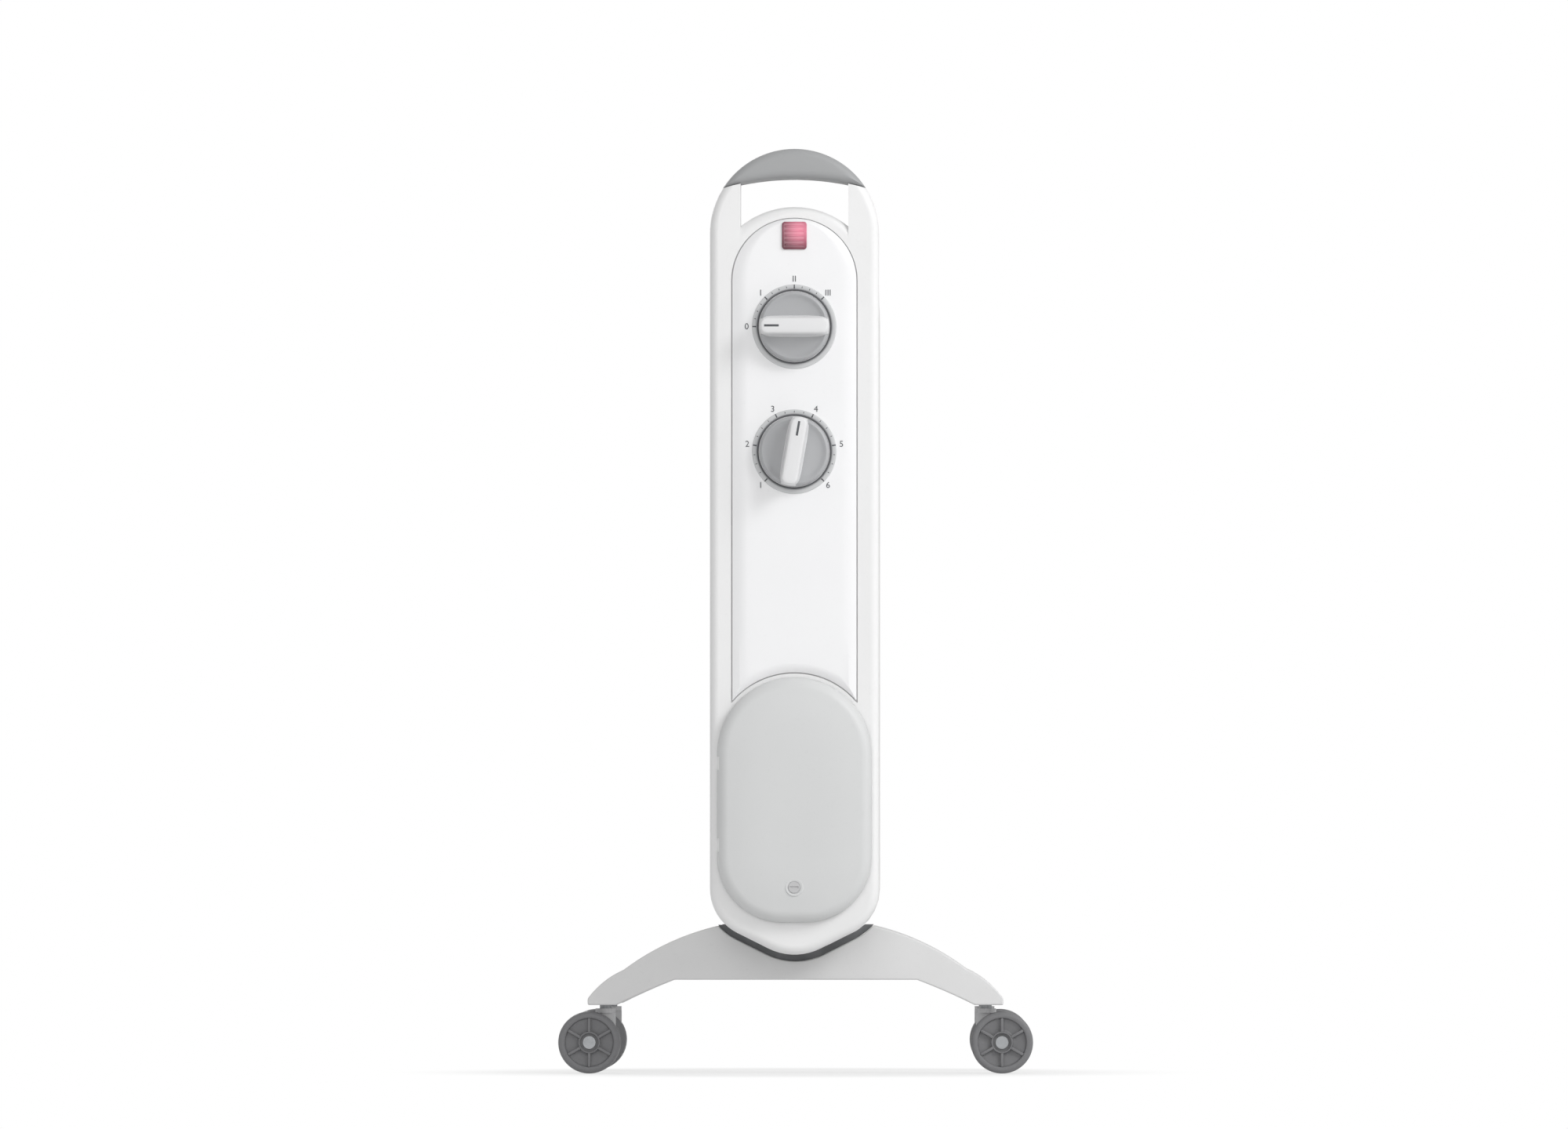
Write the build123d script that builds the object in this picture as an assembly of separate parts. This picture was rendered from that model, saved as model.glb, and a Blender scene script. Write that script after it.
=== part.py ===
"""Oil-filled electric radiator: a row of pressed fins on two castored feet, a control housing at one end."""

import os
from math import hypot, sqrt

from build123d import *

# Running and shut clearances, and how far a cutter runs past what it cuts
seat_gap = 0.3
running_clearance = 0.05
shut_gap = 1.5
overrun = 1.0

# How near to a corner's place a vertex is looked for
pick_margin = 1.0

# Overall height, and how far below it the tops of the pieces are
handle_top_z = 636.0
handle_thickness = 20.0
handle_rise = 40.0
fin_below_housing = 4.0
panel_below_housing = 8.0

# Body section, across X and up Z
body_half_width = 58.0
keel_z = 78.0
keel_slope = 0.5
keel_radius = 40.0
bilge_radius = 34.0

# Fins
fin_count = 7
fin_pitch = 42.0
fin_sheet = 1.6
oil_half_depth = 11.0
oil_half_width = 36.0
oil_corner_radius = 25.2
oil_inset_low = 24.0
oil_inset_high = 22.0
web_half_width = 9.0
web_corner_radius = 8.8
web_inset = 46.0
oil_wall = 1.2
oil_taper = 30.0
hem_depth = 4.4
hem_width = 2.4

# Oil collectors that join the fins
nipple_radius = 15.0
nipple_bore_radius = 11.0
collector_inset = 46.0
plug_radius = 7.0
plug_head_radius = 9.0
plug_head_depth = 5.0
plug_thread_past = 2.0

# Heating element
element_rod_radius = 3.6
element_rod_spread = 6.0
element_short_of_end = 14.0
flange_radius = 21.0
flange_depth = 4.0
flange_hole_gap = 4.0
gasket_radius = 17.0
gasket_depth = 1.5
terminal_radius = 2.0
terminal_length = 14.0
cutout_radius = 8.0
cutout_depth = 5.0
cutout_above_element = 175.0

# Control housing
housing_depth = 78.0
housing_wall = 2.5
front_wall = 5.0
housing_edge_radius = 6.0
shield_sheet = 1.0
shield_inset = 4.0
shield_to_fin = 9.0
shield_boss_radius = 5.0
housing_screw_radius = 2.0
housing_screw_x = 40.0
housing_screw_above_cover = 11.0
housing_screw_below_top = 66.0
housing_boss_radius = 5.0
housing_screw_length = 14.0
housing_screw_head_depth = 2.0
shield_boss_above_keel = 97.0
shield_boss_below_fin_top = 87.0

# Handle over the finger gap
handle_under_radius = 180.0
handle_depth = 36.0
handle_edge_radius = 4.0
post_inner_x = 37.0
handle_peg_radius = 3.0
handle_peg_length = 22.0
handle_peg_x = 43.5
handle_peg_cover = 2.0
handle_screw_radius = 1.5
handle_screw_head_radius = 3.0
handle_screw_head_depth = 2.0
handle_screw_bite = 8.0
handle_floor = 3.0
handle_boss_radius = 5.0
mount_seat_above_shoulder = 22.0

# Front panel
panel_half_width = 43.0
panel_proud = 3.0
panel_recess = 2.5
panel_joint = 0.4
panel_bevel_depth = 2.4

# Controls on the front panel, from its top downwards
lamp_below_panel_top = 12.0
selector_below_lamp = 62.5
thermostat_below_selector = 85.8
lamp_width = 17.0
lamp_height = 19.0
lamp_proud = 2.0
lamp_corner = 2.0
lamp_edge_radius = 1.2
lamp_hole_gap = 0.5
lamp_body_width = 12.0
lamp_body_height = 14.0
lamp_body_depth = 16.0
knob_radius = 24.0
knob_skirt_depth = 8.0
knob_depth = 21.0
knob_rim_radius = 2.5
knob_lift = 0.6
grip_length = 49.0
grip_width = 14.0
grip_corner_radius = 6.3
grip_chamfer = 2.0
grip_overhang = 2.0
selector_turn = -90.0
thermostat_turn = 10.0
dial_outer_radius = 29.0
dial_inner_radius = 24.6
dial_proud = 1.2
dial_sunk = 1.0
shaft_radius = 3.0
shaft_hole_gap = 1.0
shaft_in_knob = 12.0
shaft_in_control = 10.0
shaft_bore_past_end = 2.0
switch_size = 34.0
switch_depth = 30.0
thermostat_radius = 17.0
thermostat_depth = 22.0
control_neck_radius = 5.0

# Cord store and its cover
cover_inset = 5.0
cover_top_z = 273.0
cover_bottom_z = 105.0
cover_corner_radius = 45.0
cover_proud = 14.0
cover_edge_radius = 8.0
cover_wall = 2.5
cover_joint = 3.0
store_lip = 9.0
store_to_shield = 15.0
store_wall = 2.0
store_flange = 4.0
store_flange_depth = 1.6
hinge_from_wall = 5.2
hinge_from_edge = 3.0
hinge_pin_radius = 1.0
hinge_pin_short = 0.5
hinge_ear_radius = 2.4
hinge_foot_inset = 1.4
hinge_foot_sunk = 0.5
hinge_ear_height = 9.0
hinge_low_z = 158.0
hinge_high_z = 214.0
hinge_lug_height = 9.0
lock_z = 129.0
lock_radius = 4.0
lock_post_wall = 2.0
lock_head_depth = 1.2
lock_shank_radius = 2.5
lock_slot_width = 1.2
lock_tongue_width = 5.0
lock_tongue_depth = 1.6
lock_tongue_bite = 6.0
winder_spread = 62.0
winder_radius = 7.0
winder_length = 40.0
winder_hook = 5.0
winder_hook_depth = 4.0
gland_radius = 7.0
gland_neck_radius = 5.0
gland_bore_radius = 3.7
gland_behind = 6.0
gland_head_depth = 4.0
gland_x = 24.0
gland_z = 160.0

# Parts inside the housing
terminal_block_size = (34.0, 14.0, 16.0)
terminal_block_above_cover = 51.0
terminal_block_x = 22.0
tilt_case_size = (26.0, 18.0, 40.0)
tilt_case_x = -26.0
tilt_case_above_cover = 57.0
tilt_case_wall = 1.5
pendulum_radius = 5.0
pendulum_arm = 20.0
pendulum_drop = 9.0
pendulum_depth = 8.0
pendulum_eye_radius = 3.0
pendulum_eye_depth = 4.0
pendulum_arm_width = 2.4
pendulum_arm_depth = 2.0
pendulum_pin_radius = 1.0
wire_radius = 1.3
wire_bend = 5.0
wire_pitch = 6.0
wire_turn_room = 20.0
wire_terminal_y = 6.0

# Feet
foot_depth = 58.0
foot_wall = 2.6
foot_horn_x = 51.0
foot_horn_z = 103.0
foot_shoulder_x = 86.0
foot_shoulder_z = 91.5
foot_arm_x = 119.0
foot_arm_z = 72.0
foot_knee_x = 133.0
foot_knee_z = 63.5
foot_tip_x = 144.0
foot_tip_z = 52.0
foot_floor_z = 65.0
foot_floor_x = 84.0
foot_under_z = 47.5
foot_under_x = 124.0
foot_arch_x = 106.0
foot_arch_z = 56.0
pad_thickness = 4.5
pad_clear = 0.2
foot_tip_half_depth = 22.0
nut_seat_z = 72.0
nut_seat_rim = 1.0
pad_depth = 50.0
u_bolt_radius = 2.5
wing_nut_radius = 6.0
wing_nut_height = 6.0
bolt_past_nut = 1.0
wing_span = 24.0
wing_thickness = 2.4
wing_below_seat = 1.0

# Castors
wheel_radius = 21.5
wheel_width = 12.5
wheel_bore_inset = 3.0
wheel_hub_radius = 6.5
hood_depth = 9.0
hood_gap = 0.6
hood_radius = 18.6
castor_x = 132.0
castor_trail = 11.0
stem_radius = 4.0
stem_barrel_radius = 7.0
stem_barrel_top = 45.0
stem_length = 16.0
stem_socket_depth = 13.0
stem_socket_wall = 3.0
hood_cut = 8.0
hood_web_top = 42.0
stem_foot_z = 27.0
axle_radius = 3.0
axle_cap_radius = 4.4
axle_cap_depth = 1.0
axle_cap_gap = 0.2
wheel_edge_radius = 2.0

# Places along Y, front to back, with the middle of the whole depth at Y = 0
knob_standoff = dial_proud + knob_lift
front_overhang = panel_proud + knob_standoff + knob_depth
fin_block_depth = (fin_count - 1) * fin_pitch + 2 * oil_half_depth
shield_stack = shield_sheet + shield_to_fin
total_depth = front_overhang + housing_depth + shield_stack + fin_block_depth + plug_head_depth
housing_front_y = -total_depth / 2 + front_overhang
housing_back_y = housing_front_y + housing_depth
panel_face_y = housing_front_y - panel_proud
shield_back_y = housing_back_y + shield_sheet
first_face_y = shield_back_y + shield_to_fin
first_fin_y = first_face_y + oil_half_depth
last_fin_y = first_fin_y + (fin_count - 1) * fin_pitch
last_face_y = last_fin_y + oil_half_depth
front_foot_y = first_fin_y + fin_pitch / 2
rear_foot_y = last_fin_y - fin_pitch / 2
wall_back_y = housing_front_y + front_wall
store_depth = housing_depth - front_wall - store_to_shield

# Width that follows from the body's
cover_half_width = body_half_width - cover_inset

# Places up Z that follow from the sizes above
housing_top_z = handle_top_z - handle_rise
handle_under_z = handle_top_z - handle_thickness
fin_top_z = housing_top_z - fin_below_housing
panel_top_z = housing_top_z - panel_below_housing
lamp_z = panel_top_z - lamp_below_panel_top
selector_z = lamp_z - selector_below_lamp
thermostat_z = selector_z - thermostat_below_selector
housing_screw_low_z = cover_top_z + housing_screw_above_cover
housing_screw_high_z = housing_top_z - housing_screw_below_top
shield_boss_low_z = keel_z + shield_boss_above_keel
shield_boss_high_z = fin_top_z - shield_boss_below_fin_top
terminal_block_z = cover_top_z + terminal_block_above_cover
tilt_case_z = cover_top_z + tilt_case_above_cover
low_collector_z = keel_z + oil_inset_low + web_inset / 2
high_collector_z = fin_top_z - oil_inset_high - web_inset / 2
peg_top_z = handle_top_z - body_half_width + sqrt(body_half_width ** 2 - handle_peg_x ** 2) - handle_peg_cover
shoulder_z = housing_top_z - body_half_width
mount_seat_z = shoulder_z + mount_seat_above_shoulder
inner_crown_radius = body_half_width - housing_wall
handle_boss_reach = handle_peg_x + handle_boss_radius
handle_boss_z = shoulder_z + sqrt(inner_crown_radius ** 2 - handle_boss_reach ** 2) - handle_floor
knob_back_y = panel_face_y - knob_standoff
knob_front_y = knob_back_y - knob_depth
lock_tongue_reach = lock_z - cover_bottom_z - store_lip + lock_tongue_bite
lock_sweep_radius = hypot(lock_tongue_reach, lock_tongue_width / 2) + seat_gap
hinge_x = -(cover_half_width - hinge_from_edge)
hinge_y = housing_front_y - hinge_from_wall
pendulum_z = tilt_case_z + tilt_case_size[2] / 2 - pendulum_drop
pad_outer = pad_clear + pad_thickness
u_bolt_x = nipple_radius + seat_gap + u_bolt_radius
bolt_end_z = nut_seat_z - wing_nut_height - bolt_past_nut


def slab(face, y_front, y_back):
    """A section drawn across X and up Z, made solid between two places along Y."""
    plane = Plane((0, y_back, 0), x_dir=(1, 0, 0), z_dir=(0, -1, 0))
    return extrude(plane * face, amount=y_back - y_front)


def frustum(face, y_mid, depth, taper, side):
    """A section that narrows as it leaves y_mid, towards -Y for side -1 and +Y for side 1."""
    plane = Plane((0, y_mid, 0), x_dir=(1, 0, 0), z_dir=(0, -1, 0))
    solid = extrude(plane * face, amount=depth, taper=taper)
    return solid if side < 0 else mirror(solid, about=Plane((0, y_mid, 0), z_dir=(0, 1, 0)))


def rod_y(x, z, radius, y_front, y_back):
    """A round bar along Y."""
    return slab(Pos(x, z) * Circle(radius), y_front, y_back)


def rod_z(x, y, radius, z_low, z_high):
    """A round bar along Z."""
    return extrude(Plane((x, y, z_low)) * Circle(radius), amount=z_high - z_low)


def block(x, y, z, low_high):
    """A box from pairs of low and high offsets along X, Y and Z."""
    (x_low, x_high), (y_low, y_high), (z_low, z_high) = low_high
    size = Box(x_high - x_low, y_high - y_low, z_high - z_low)
    return Pos(x + (x_low + x_high) / 2, y + (y_low + y_high) / 2, z + (z_low + z_high) / 2) * size


def together(pieces):
    """One node from pieces that stay separate solids."""
    return Compound(children=[solid for piece in pieces for solid in piece.solids()])


def body_face(top_z, spread=0.0):
    """The section shared by fins and housing: round top, straight flanks, rounded keel."""
    w = body_half_width
    side_z = keel_z + w * keel_slope
    crown_z = top_z - w
    corners = Polyline((-w, crown_z), (-w, side_z), (0, keel_z), (w, side_z), (w, crown_z), close=True)
    face = make_face(corners)
    lower = face.vertices().filter_by(lambda v: v.Y < crown_z - pick_margin)
    keel = lower.filter_by(lambda v: abs(v.X) < pick_margin)
    face = fillet(keel, keel_radius)
    lower = face.vertices().filter_by(lambda v: v.Y < crown_z - pick_margin)
    sides = lower.filter_by(lambda v: abs(v.X) > w - pick_margin)
    face = fillet(sides, bilge_radius) + Pos(0, crown_z) * Circle(w)
    return offset(face, spread) if spread else face


def oil_face(spread=0.0):
    """The outline of a fin's oil space."""
    w = oil_half_width
    low = keel_z + oil_inset_low
    high = fin_top_z - oil_inset_high
    straight = Pos(0, (low + high - w) / 2) * Rectangle(2 * w, high - w - low)
    bottom = straight.vertices().filter_by(lambda v: v.Y < low + pick_margin)
    face = fillet(bottom, oil_corner_radius) + Pos(0, high - w) * Circle(w)
    return offset(face, spread) if spread else face


def web_face(spread=0.0):
    """The flat stretch between a fin's two oil columns."""
    low = keel_z + oil_inset_low + web_inset
    high = fin_top_z - oil_inset_high - web_inset
    size = (2 * (web_half_width + spread), high - low + 2 * spread)
    return Pos(0, (low + high) / 2) * RectangleRounded(*size, web_corner_radius + spread)


def oil_space(y_mid, shrink):
    """Two tapered halves of the oil space, smaller by shrink all round."""
    depth = oil_half_depth - shrink
    halves = []
    for side in (-1, 1):
        outer = frustum(oil_face(-shrink), y_mid, depth, oil_taper, side)
        groove = frustum(web_face(shrink), y_mid, depth + 1, -oil_taper, side)
        halves.append(outer - groove)
    return halves[0] + halves[1]


def fin(index):
    """One pressed fin: flange sheet, rolled hem and the hollow oil space."""
    y = first_fin_y + index * fin_pitch
    outline = body_face(fin_top_z)
    shape = slab(outline, y - fin_sheet / 2, y + fin_sheet / 2)
    hem = outline - body_face(fin_top_z, -hem_width)
    shape += slab(hem, y - hem_depth / 2, y + hem_depth / 2)
    shape += oil_space(y, 0)
    shape -= oil_space(y, oil_wall)
    ends = {"front": (y - oil_half_depth - 1, y), "back": (y, y + oil_half_depth + 1)}
    for z in (low_collector_z, high_collector_z):
        if index > 0 or z == low_collector_z:
            shape -= rod_y(0, z, nipple_bore_radius, *ends["front"])
        if index < fin_count - 1:
            shape -= rod_y(0, z, nipple_bore_radius, *ends["back"])
    if index == fin_count - 1:
        shape -= rod_y(0, high_collector_z, plug_radius + seat_gap, *ends["back"])
    return shape


def collector_nipples(z):
    """The welded tubes that join neighbouring fins at one height."""
    ring = Pos(0, z) * (Circle(nipple_radius) - Circle(nipple_bore_radius))
    starts = [first_face_y + 2 * oil_half_depth + i * fin_pitch for i in range(fin_count - 1)]
    return together([slab(ring, y, y + fin_pitch - 2 * oil_half_depth) for y in starts])


def oil_filler_plug():
    """Threaded plug in the last fin's upper collector."""
    z = high_collector_z
    plug = rod_y(0, z, plug_radius, last_face_y - oil_wall - plug_thread_past, last_face_y)
    hexagon = Pos(0, z) * RegularPolygon(plug_head_radius, 6)
    return plug + slab(hexagon, last_face_y, last_face_y + plug_head_depth)


def heating_element():
    """Hairpin element in the lower collector, with its flange and two terminals."""
    z = low_collector_z
    flange_back_y = first_face_y - gasket_depth
    flange_front_y = flange_back_y - flange_depth
    bend_y = last_face_y - element_short_of_end - element_rod_spread - element_rod_radius
    shape = rod_y(0, z, flange_radius, flange_front_y, flange_back_y)
    for side in (-1, 1):
        x = side * element_rod_spread
        shape += rod_y(x, z, element_rod_radius, flange_back_y, bend_y)
        shape += rod_y(x, z, terminal_radius, flange_front_y - terminal_length, flange_front_y)
    start = Plane((element_rod_spread, bend_y, z), x_dir=(1, 0, 0), z_dir=(0, 1, 0))
    section = start * Circle(element_rod_radius)
    turn = Axis((0, bend_y, z), (0, 0, 1))
    return shape + revolve(section, axis=turn, revolution_arc=180)


def element_gasket():
    """Flat ring between the element's flange and the first fin."""
    ring = Pos(0, low_collector_z) * (Circle(gasket_radius) - Circle(nipple_bore_radius))
    return slab(ring, first_face_y - gasket_depth, first_face_y)


def heat_shield():
    """Sheet that closes the housing's back, on four bosses that reach the first fin."""
    face = body_face(housing_top_z, -shield_inset)
    face -= Pos(0, low_collector_z) * Circle(flange_radius + flange_hole_gap)
    for x, z in screw_places():
        face -= Pos(x, z) * Circle(housing_screw_radius + seat_gap)
    shape = slab(face, housing_back_y, shield_back_y)
    middle_x = (oil_half_width + web_half_width) / 2
    for x in (-middle_x, middle_x):
        for z in (shield_boss_low_z, shield_boss_high_z):
            shape += rod_y(x, z, shield_boss_radius, shield_back_y, first_face_y)
    return shape


def screw_places():
    """Where the housing's four screws stand."""
    heights = (housing_screw_low_z, housing_screw_high_z)
    return [(x, z) for x in (-housing_screw_x, housing_screw_x) for z in heights]


def housing_screws():
    """Four screws from behind the heat shield into the housing's bosses."""
    screws = []
    for x, z in screw_places():
        shank = rod_y(x, z, housing_screw_radius, housing_back_y - housing_screw_length, shield_back_y)
        head_end_y = shield_back_y + housing_screw_head_depth
        screws.append(shank + rod_y(x, z, 2 * housing_screw_radius, shield_back_y, head_end_y))
    return together(screws)


def cover_face(spread=0.0):
    """Outline of the cord store's cover."""
    w = cover_half_width
    crown_z = cover_top_z - w
    low = Pos(0, (cover_bottom_z + crown_z) / 2) * Rectangle(2 * w, crown_z - cover_bottom_z)
    corners = low.vertices().filter_by(lambda v: v.Y < cover_bottom_z + pick_margin)
    face = fillet(corners, cover_corner_radius) + Pos(0, crown_z) * Circle(w)
    return offset(face, spread) if spread else face


def panel_face(spread=0.0):
    """Outline of the front panel, cut away in an arch over the cover."""
    w = panel_half_width
    crown_z = panel_top_z - w
    low_z = cover_top_z - cover_half_width
    face = Pos(0, (low_z + crown_z) / 2) * Rectangle(2 * w, crown_z - low_z) + Pos(0, crown_z) * Circle(w)
    face -= cover_face(cover_joint)
    face = face.faces().sort_by(Axis.Y)[-1]
    return offset(face, spread) if spread else face


def handle_section(gap):
    """The region below the handle's underside, lower than it by gap."""
    centre_z = handle_under_z - handle_under_radius
    return Pos(0, centre_z) * Circle(handle_under_radius - gap)


def lamp_hole():
    """The hole for the lamp's stub."""
    gap = 2 * lamp_hole_gap
    return Pos(0, lamp_z) * RectangleRounded(lamp_body_width + gap, lamp_body_height + gap, lamp_hole_gap)


def rounded_front(face, radius):
    """The housing's depth of a section, with its front edge rounded."""
    solid = slab(face, housing_front_y, housing_back_y)
    front = solid.faces().sort_by(Axis.Y)[0]
    return fillet(front.edges(), radius)


def handle():
    """Grip that completes the housing's round top, with a peg into each post."""
    whole = rounded_front(body_face(handle_top_z), housing_edge_radius)
    above = Pos(0, handle_top_z) * Rectangle(3 * body_half_width, 4 * handle_rise)
    band = slab(above - handle_section(0), housing_front_y - overrun, housing_front_y + handle_depth)
    grip = whole & band
    back = grip.edges().filter_by(lambda e: abs(e.center().Y - housing_front_y - handle_depth) < 0.01)
    grip = fillet(back, handle_edge_radius / 2)
    y = housing_front_y + handle_depth / 2
    for x in (-handle_peg_x, handle_peg_x):
        grip += rod_z(x, y, handle_peg_radius, peg_top_z - handle_peg_length, peg_top_z)
        grip -= rod_z(x, y, handle_screw_radius, 0, peg_top_z - handle_peg_length + handle_screw_bite)
    return grip


def handle_screws():
    """Screws from inside the housing, through the mounts into the handle's pegs."""
    y = housing_front_y + handle_depth / 2
    tip_z = peg_top_z - handle_peg_length + handle_screw_bite
    head_z = handle_boss_z - handle_screw_head_depth
    screws = []
    for x in (-handle_peg_x, handle_peg_x):
        shank = rod_z(x, y, handle_screw_radius, handle_boss_z, tip_z)
        screws.append(shank + rod_z(x, y, handle_screw_head_radius, head_z, handle_boss_z))
    return together(screws)


def handle_posts():
    """The two sides that carry the handle, one on each side of the finger gap."""
    tall = rounded_front(body_face(handle_top_z), housing_edge_radius)
    posts = tall & slab(handle_section(seat_gap), housing_front_y - overrun, housing_front_y + handle_depth)
    below = Rectangle(3 * body_half_width, 2 * shoulder_z)
    between = Pos(0, handle_top_z) * Rectangle(2 * post_inner_x, 2 * (handle_top_z - shoulder_z))
    return posts - slab(below + between, housing_front_y - 2 * overrun, housing_back_y)


def above_mount_seat():
    """The space above the level where the handle's mounts begin."""
    face = Pos(0, mount_seat_z + handle_rise) * Rectangle(3 * body_half_width, 2 * handle_rise)
    return slab(face, housing_front_y - 2 * overrun, housing_back_y)


def handle_mounts():
    """Two blocks that stand on the housing's shoulders, with a socket each for the handle's pegs."""
    shape = handle_posts() & above_mount_seat()
    shape -= rounded_front(body_face(housing_top_z), housing_edge_radius)
    y = housing_front_y + handle_depth / 2
    socket_z = peg_top_z - handle_peg_length - seat_gap
    for x in (-handle_peg_x, handle_peg_x):
        shape -= rod_z(x, y, handle_peg_radius + running_clearance, socket_z, peg_top_z)
        shape -= rod_z(x, y, handle_screw_radius + running_clearance, shoulder_z, socket_z + overrun)
    return shape


def housing():
    """Moulded shell: main body, shoulders for the handle's mounts, recesses and openings in front."""
    main = rounded_front(body_face(housing_top_z), housing_edge_radius)
    cavity = slab(body_face(housing_top_z, -housing_wall), wall_back_y, housing_back_y + overrun)
    shape = main + (handle_posts() - above_mount_seat()) - cavity
    y = housing_front_y + handle_depth / 2
    for x in (-handle_peg_x, handle_peg_x):
        shape += rod_z(x, y, handle_boss_radius, handle_boss_z, handle_top_z) & main
        shape -= rod_z(x, y, handle_screw_radius + running_clearance, handle_boss_z - overrun, handle_top_z)
    for x, z in screw_places():
        boss = rod_y(x, z, housing_boss_radius, wall_back_y - overrun, housing_back_y)
        hole_start_y = housing_back_y - housing_screw_length - seat_gap
        shape += boss
        shape -= rod_y(x, z, housing_screw_radius + running_clearance, hole_start_y, housing_back_y + overrun)
    cut_front_y = housing_front_y - overrun
    cut_back_y = wall_back_y + overrun
    shape -= slab(panel_face(panel_joint), cut_front_y, housing_front_y + panel_recess)
    shape -= slab(cover_face(-store_lip), cut_front_y, cut_back_y)
    shape -= slab(lamp_hole(), cut_front_y, cut_back_y)
    for z in (selector_z, thermostat_z):
        shape -= rod_y(0, z, shaft_radius + shaft_hole_gap, cut_front_y, cut_back_y)
    return shape + hinge_ears()


def hinge_places():
    """The heights of the cover's two hinge pins."""
    return (hinge_low_z, hinge_high_z)


def hinge_ears():
    """Two ears on the housing's front that hold the hinge pins, set back where the open cover comes round."""
    ears = []
    for z in hinge_places():
        ear = rod_z(hinge_x, hinge_y, hinge_ear_radius, z - hinge_ear_height / 2, z + hinge_ear_height / 2)
        ear += block(hinge_x, hinge_y, z, ((hinge_foot_inset - hinge_ear_radius, hinge_ear_radius),
                                           (0, hinge_from_wall + hinge_foot_sunk),
                                           (-hinge_ear_height / 2, hinge_ear_height / 2)))
        bore = rod_z(hinge_x, hinge_y, hinge_pin_radius, z - hinge_ear_height, z + hinge_ear_height)
        ears.append(ear - bore)
    return ears[0] + ears[1]


def cord_store_cover():
    """Bulged door over the cord store, with lugs above and below each hinge ear."""
    back_y = housing_front_y - shut_gap
    solid = slab(cover_face(), housing_front_y - cover_proud, back_y)
    front = solid.faces().sort_by(Axis.Y)[0]
    solid = fillet(front.edges(), cover_edge_radius)
    hollow = slab(cover_face(-cover_wall), housing_front_y - cover_proud + cover_wall, back_y + overrun)
    inner_front = hollow.faces().sort_by(Axis.Y)[0]
    hollow = fillet(inner_front.edges(), cover_edge_radius - cover_wall)
    shape = solid - hollow
    for z in hinge_places():
        half = hinge_ear_height / 2 + hinge_lug_height
        lug = block(hinge_x, hinge_y, z, ((-hinge_ear_radius, hinge_ear_radius),
                                          (-hinge_ear_radius - overrun, back_y - hinge_y), (-half, half)))
        shape += lug & solid
        notch = hinge_ear_height / 2 + seat_gap
        reach = hinge_ear_radius + seat_gap
        shape -= block(hinge_x, hinge_y, z, ((-hinge_from_edge - overrun, reach), (-reach, cover_proud),
                                             (-notch, notch)))
        pin_half = half + overrun
        shape -= rod_z(hinge_x, hinge_y, hinge_pin_radius + running_clearance, z - pin_half, z + pin_half)
    front_y = housing_front_y - cover_proud
    shape += rod_y(0, lock_z, lock_radius + lock_post_wall, front_y + overrun, back_y)
    shape -= rod_y(0, lock_z, lock_shank_radius + running_clearance, front_y - overrun, back_y + overrun)
    seat_y = front_y + lock_head_depth + running_clearance
    shape -= rod_y(0, lock_z, lock_radius + running_clearance, front_y - overrun, seat_y)
    return shape


def cover_hinge_pins():
    """Two steel pins, fixed in the housing's ears."""
    pins = []
    for z in hinge_places():
        half = hinge_ear_height / 2 + hinge_lug_height - hinge_pin_short
        pins.append(rod_z(hinge_x, hinge_y, hinge_pin_radius, z - half, z + half))
    return together(pins)


def cover_lock():
    """Half-turn lock with a coin slot and a tongue that points up when it is open."""
    front_y = housing_front_y - cover_proud
    back_y = housing_front_y - shut_gap
    tongue_y = wall_back_y + seat_gap
    shape = rod_y(0, lock_z, lock_radius, front_y, front_y + lock_head_depth)
    shape += rod_y(0, lock_z, lock_shank_radius, front_y + lock_head_depth, tongue_y + lock_tongue_depth)
    half = lock_tongue_width / 2
    shape += block(0, tongue_y, lock_z, ((-half, half), (0, lock_tongue_depth), (0, lock_tongue_reach)))
    slot = block(0, front_y, lock_z, ((-lock_radius + 1, lock_radius - 1), (-overrun, lock_head_depth / 2),
                                      (-lock_slot_width / 2, lock_slot_width / 2)))
    return shape - slot


def cord_store_tray():
    """Open box behind the cover, with two winding posts and a hole for the cord's gland."""
    front_y = wall_back_y
    back_y = front_y + store_depth
    outer = cover_face(-store_lip + store_wall)
    inner = cover_face(-store_lip)
    shape = slab(outer, front_y, back_y) - slab(inner, front_y - overrun, back_y - store_wall)
    flange = cover_face(-store_lip + store_wall + store_flange) - outer
    shape += slab(flange, front_y, front_y + store_flange_depth)
    middle_z = (cover_top_z + cover_bottom_z) / 2
    tip_y = back_y - store_wall - winder_length
    for side in (-1, 1):
        z = middle_z + side * winder_spread / 2
        shape += rod_y(0, z, winder_radius, tip_y, back_y - store_wall)
        hook_z = sorted((0, side * (winder_radius + winder_hook)))
        shape += block(0, tip_y, z, ((-winder_radius, winder_radius), (0, winder_hook_depth), hook_z))
    gland_hole_y = back_y - store_wall - overrun
    shape -= rod_y(gland_x, gland_z, gland_neck_radius + running_clearance, gland_hole_y, back_y + overrun)
    sweep_back_y = front_y + lock_tongue_depth + 2 * seat_gap
    return shape - rod_y(0, lock_z, lock_sweep_radius, front_y - overrun, sweep_back_y)


def cord_gland():
    """Bushing in the store's back wall that the mains cord passes through."""
    back_y = wall_back_y + store_depth
    seat_y = back_y - store_wall
    end_y = back_y + gland_behind
    shape = rod_y(gland_x, gland_z, gland_radius, seat_y - gland_head_depth, seat_y)
    shape += rod_y(gland_x, gland_z, gland_neck_radius, seat_y, end_y)
    bore_front_y = seat_y - gland_head_depth - overrun
    return shape - rod_y(gland_x, gland_z, gland_bore_radius, bore_front_y, end_y + overrun)


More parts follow.
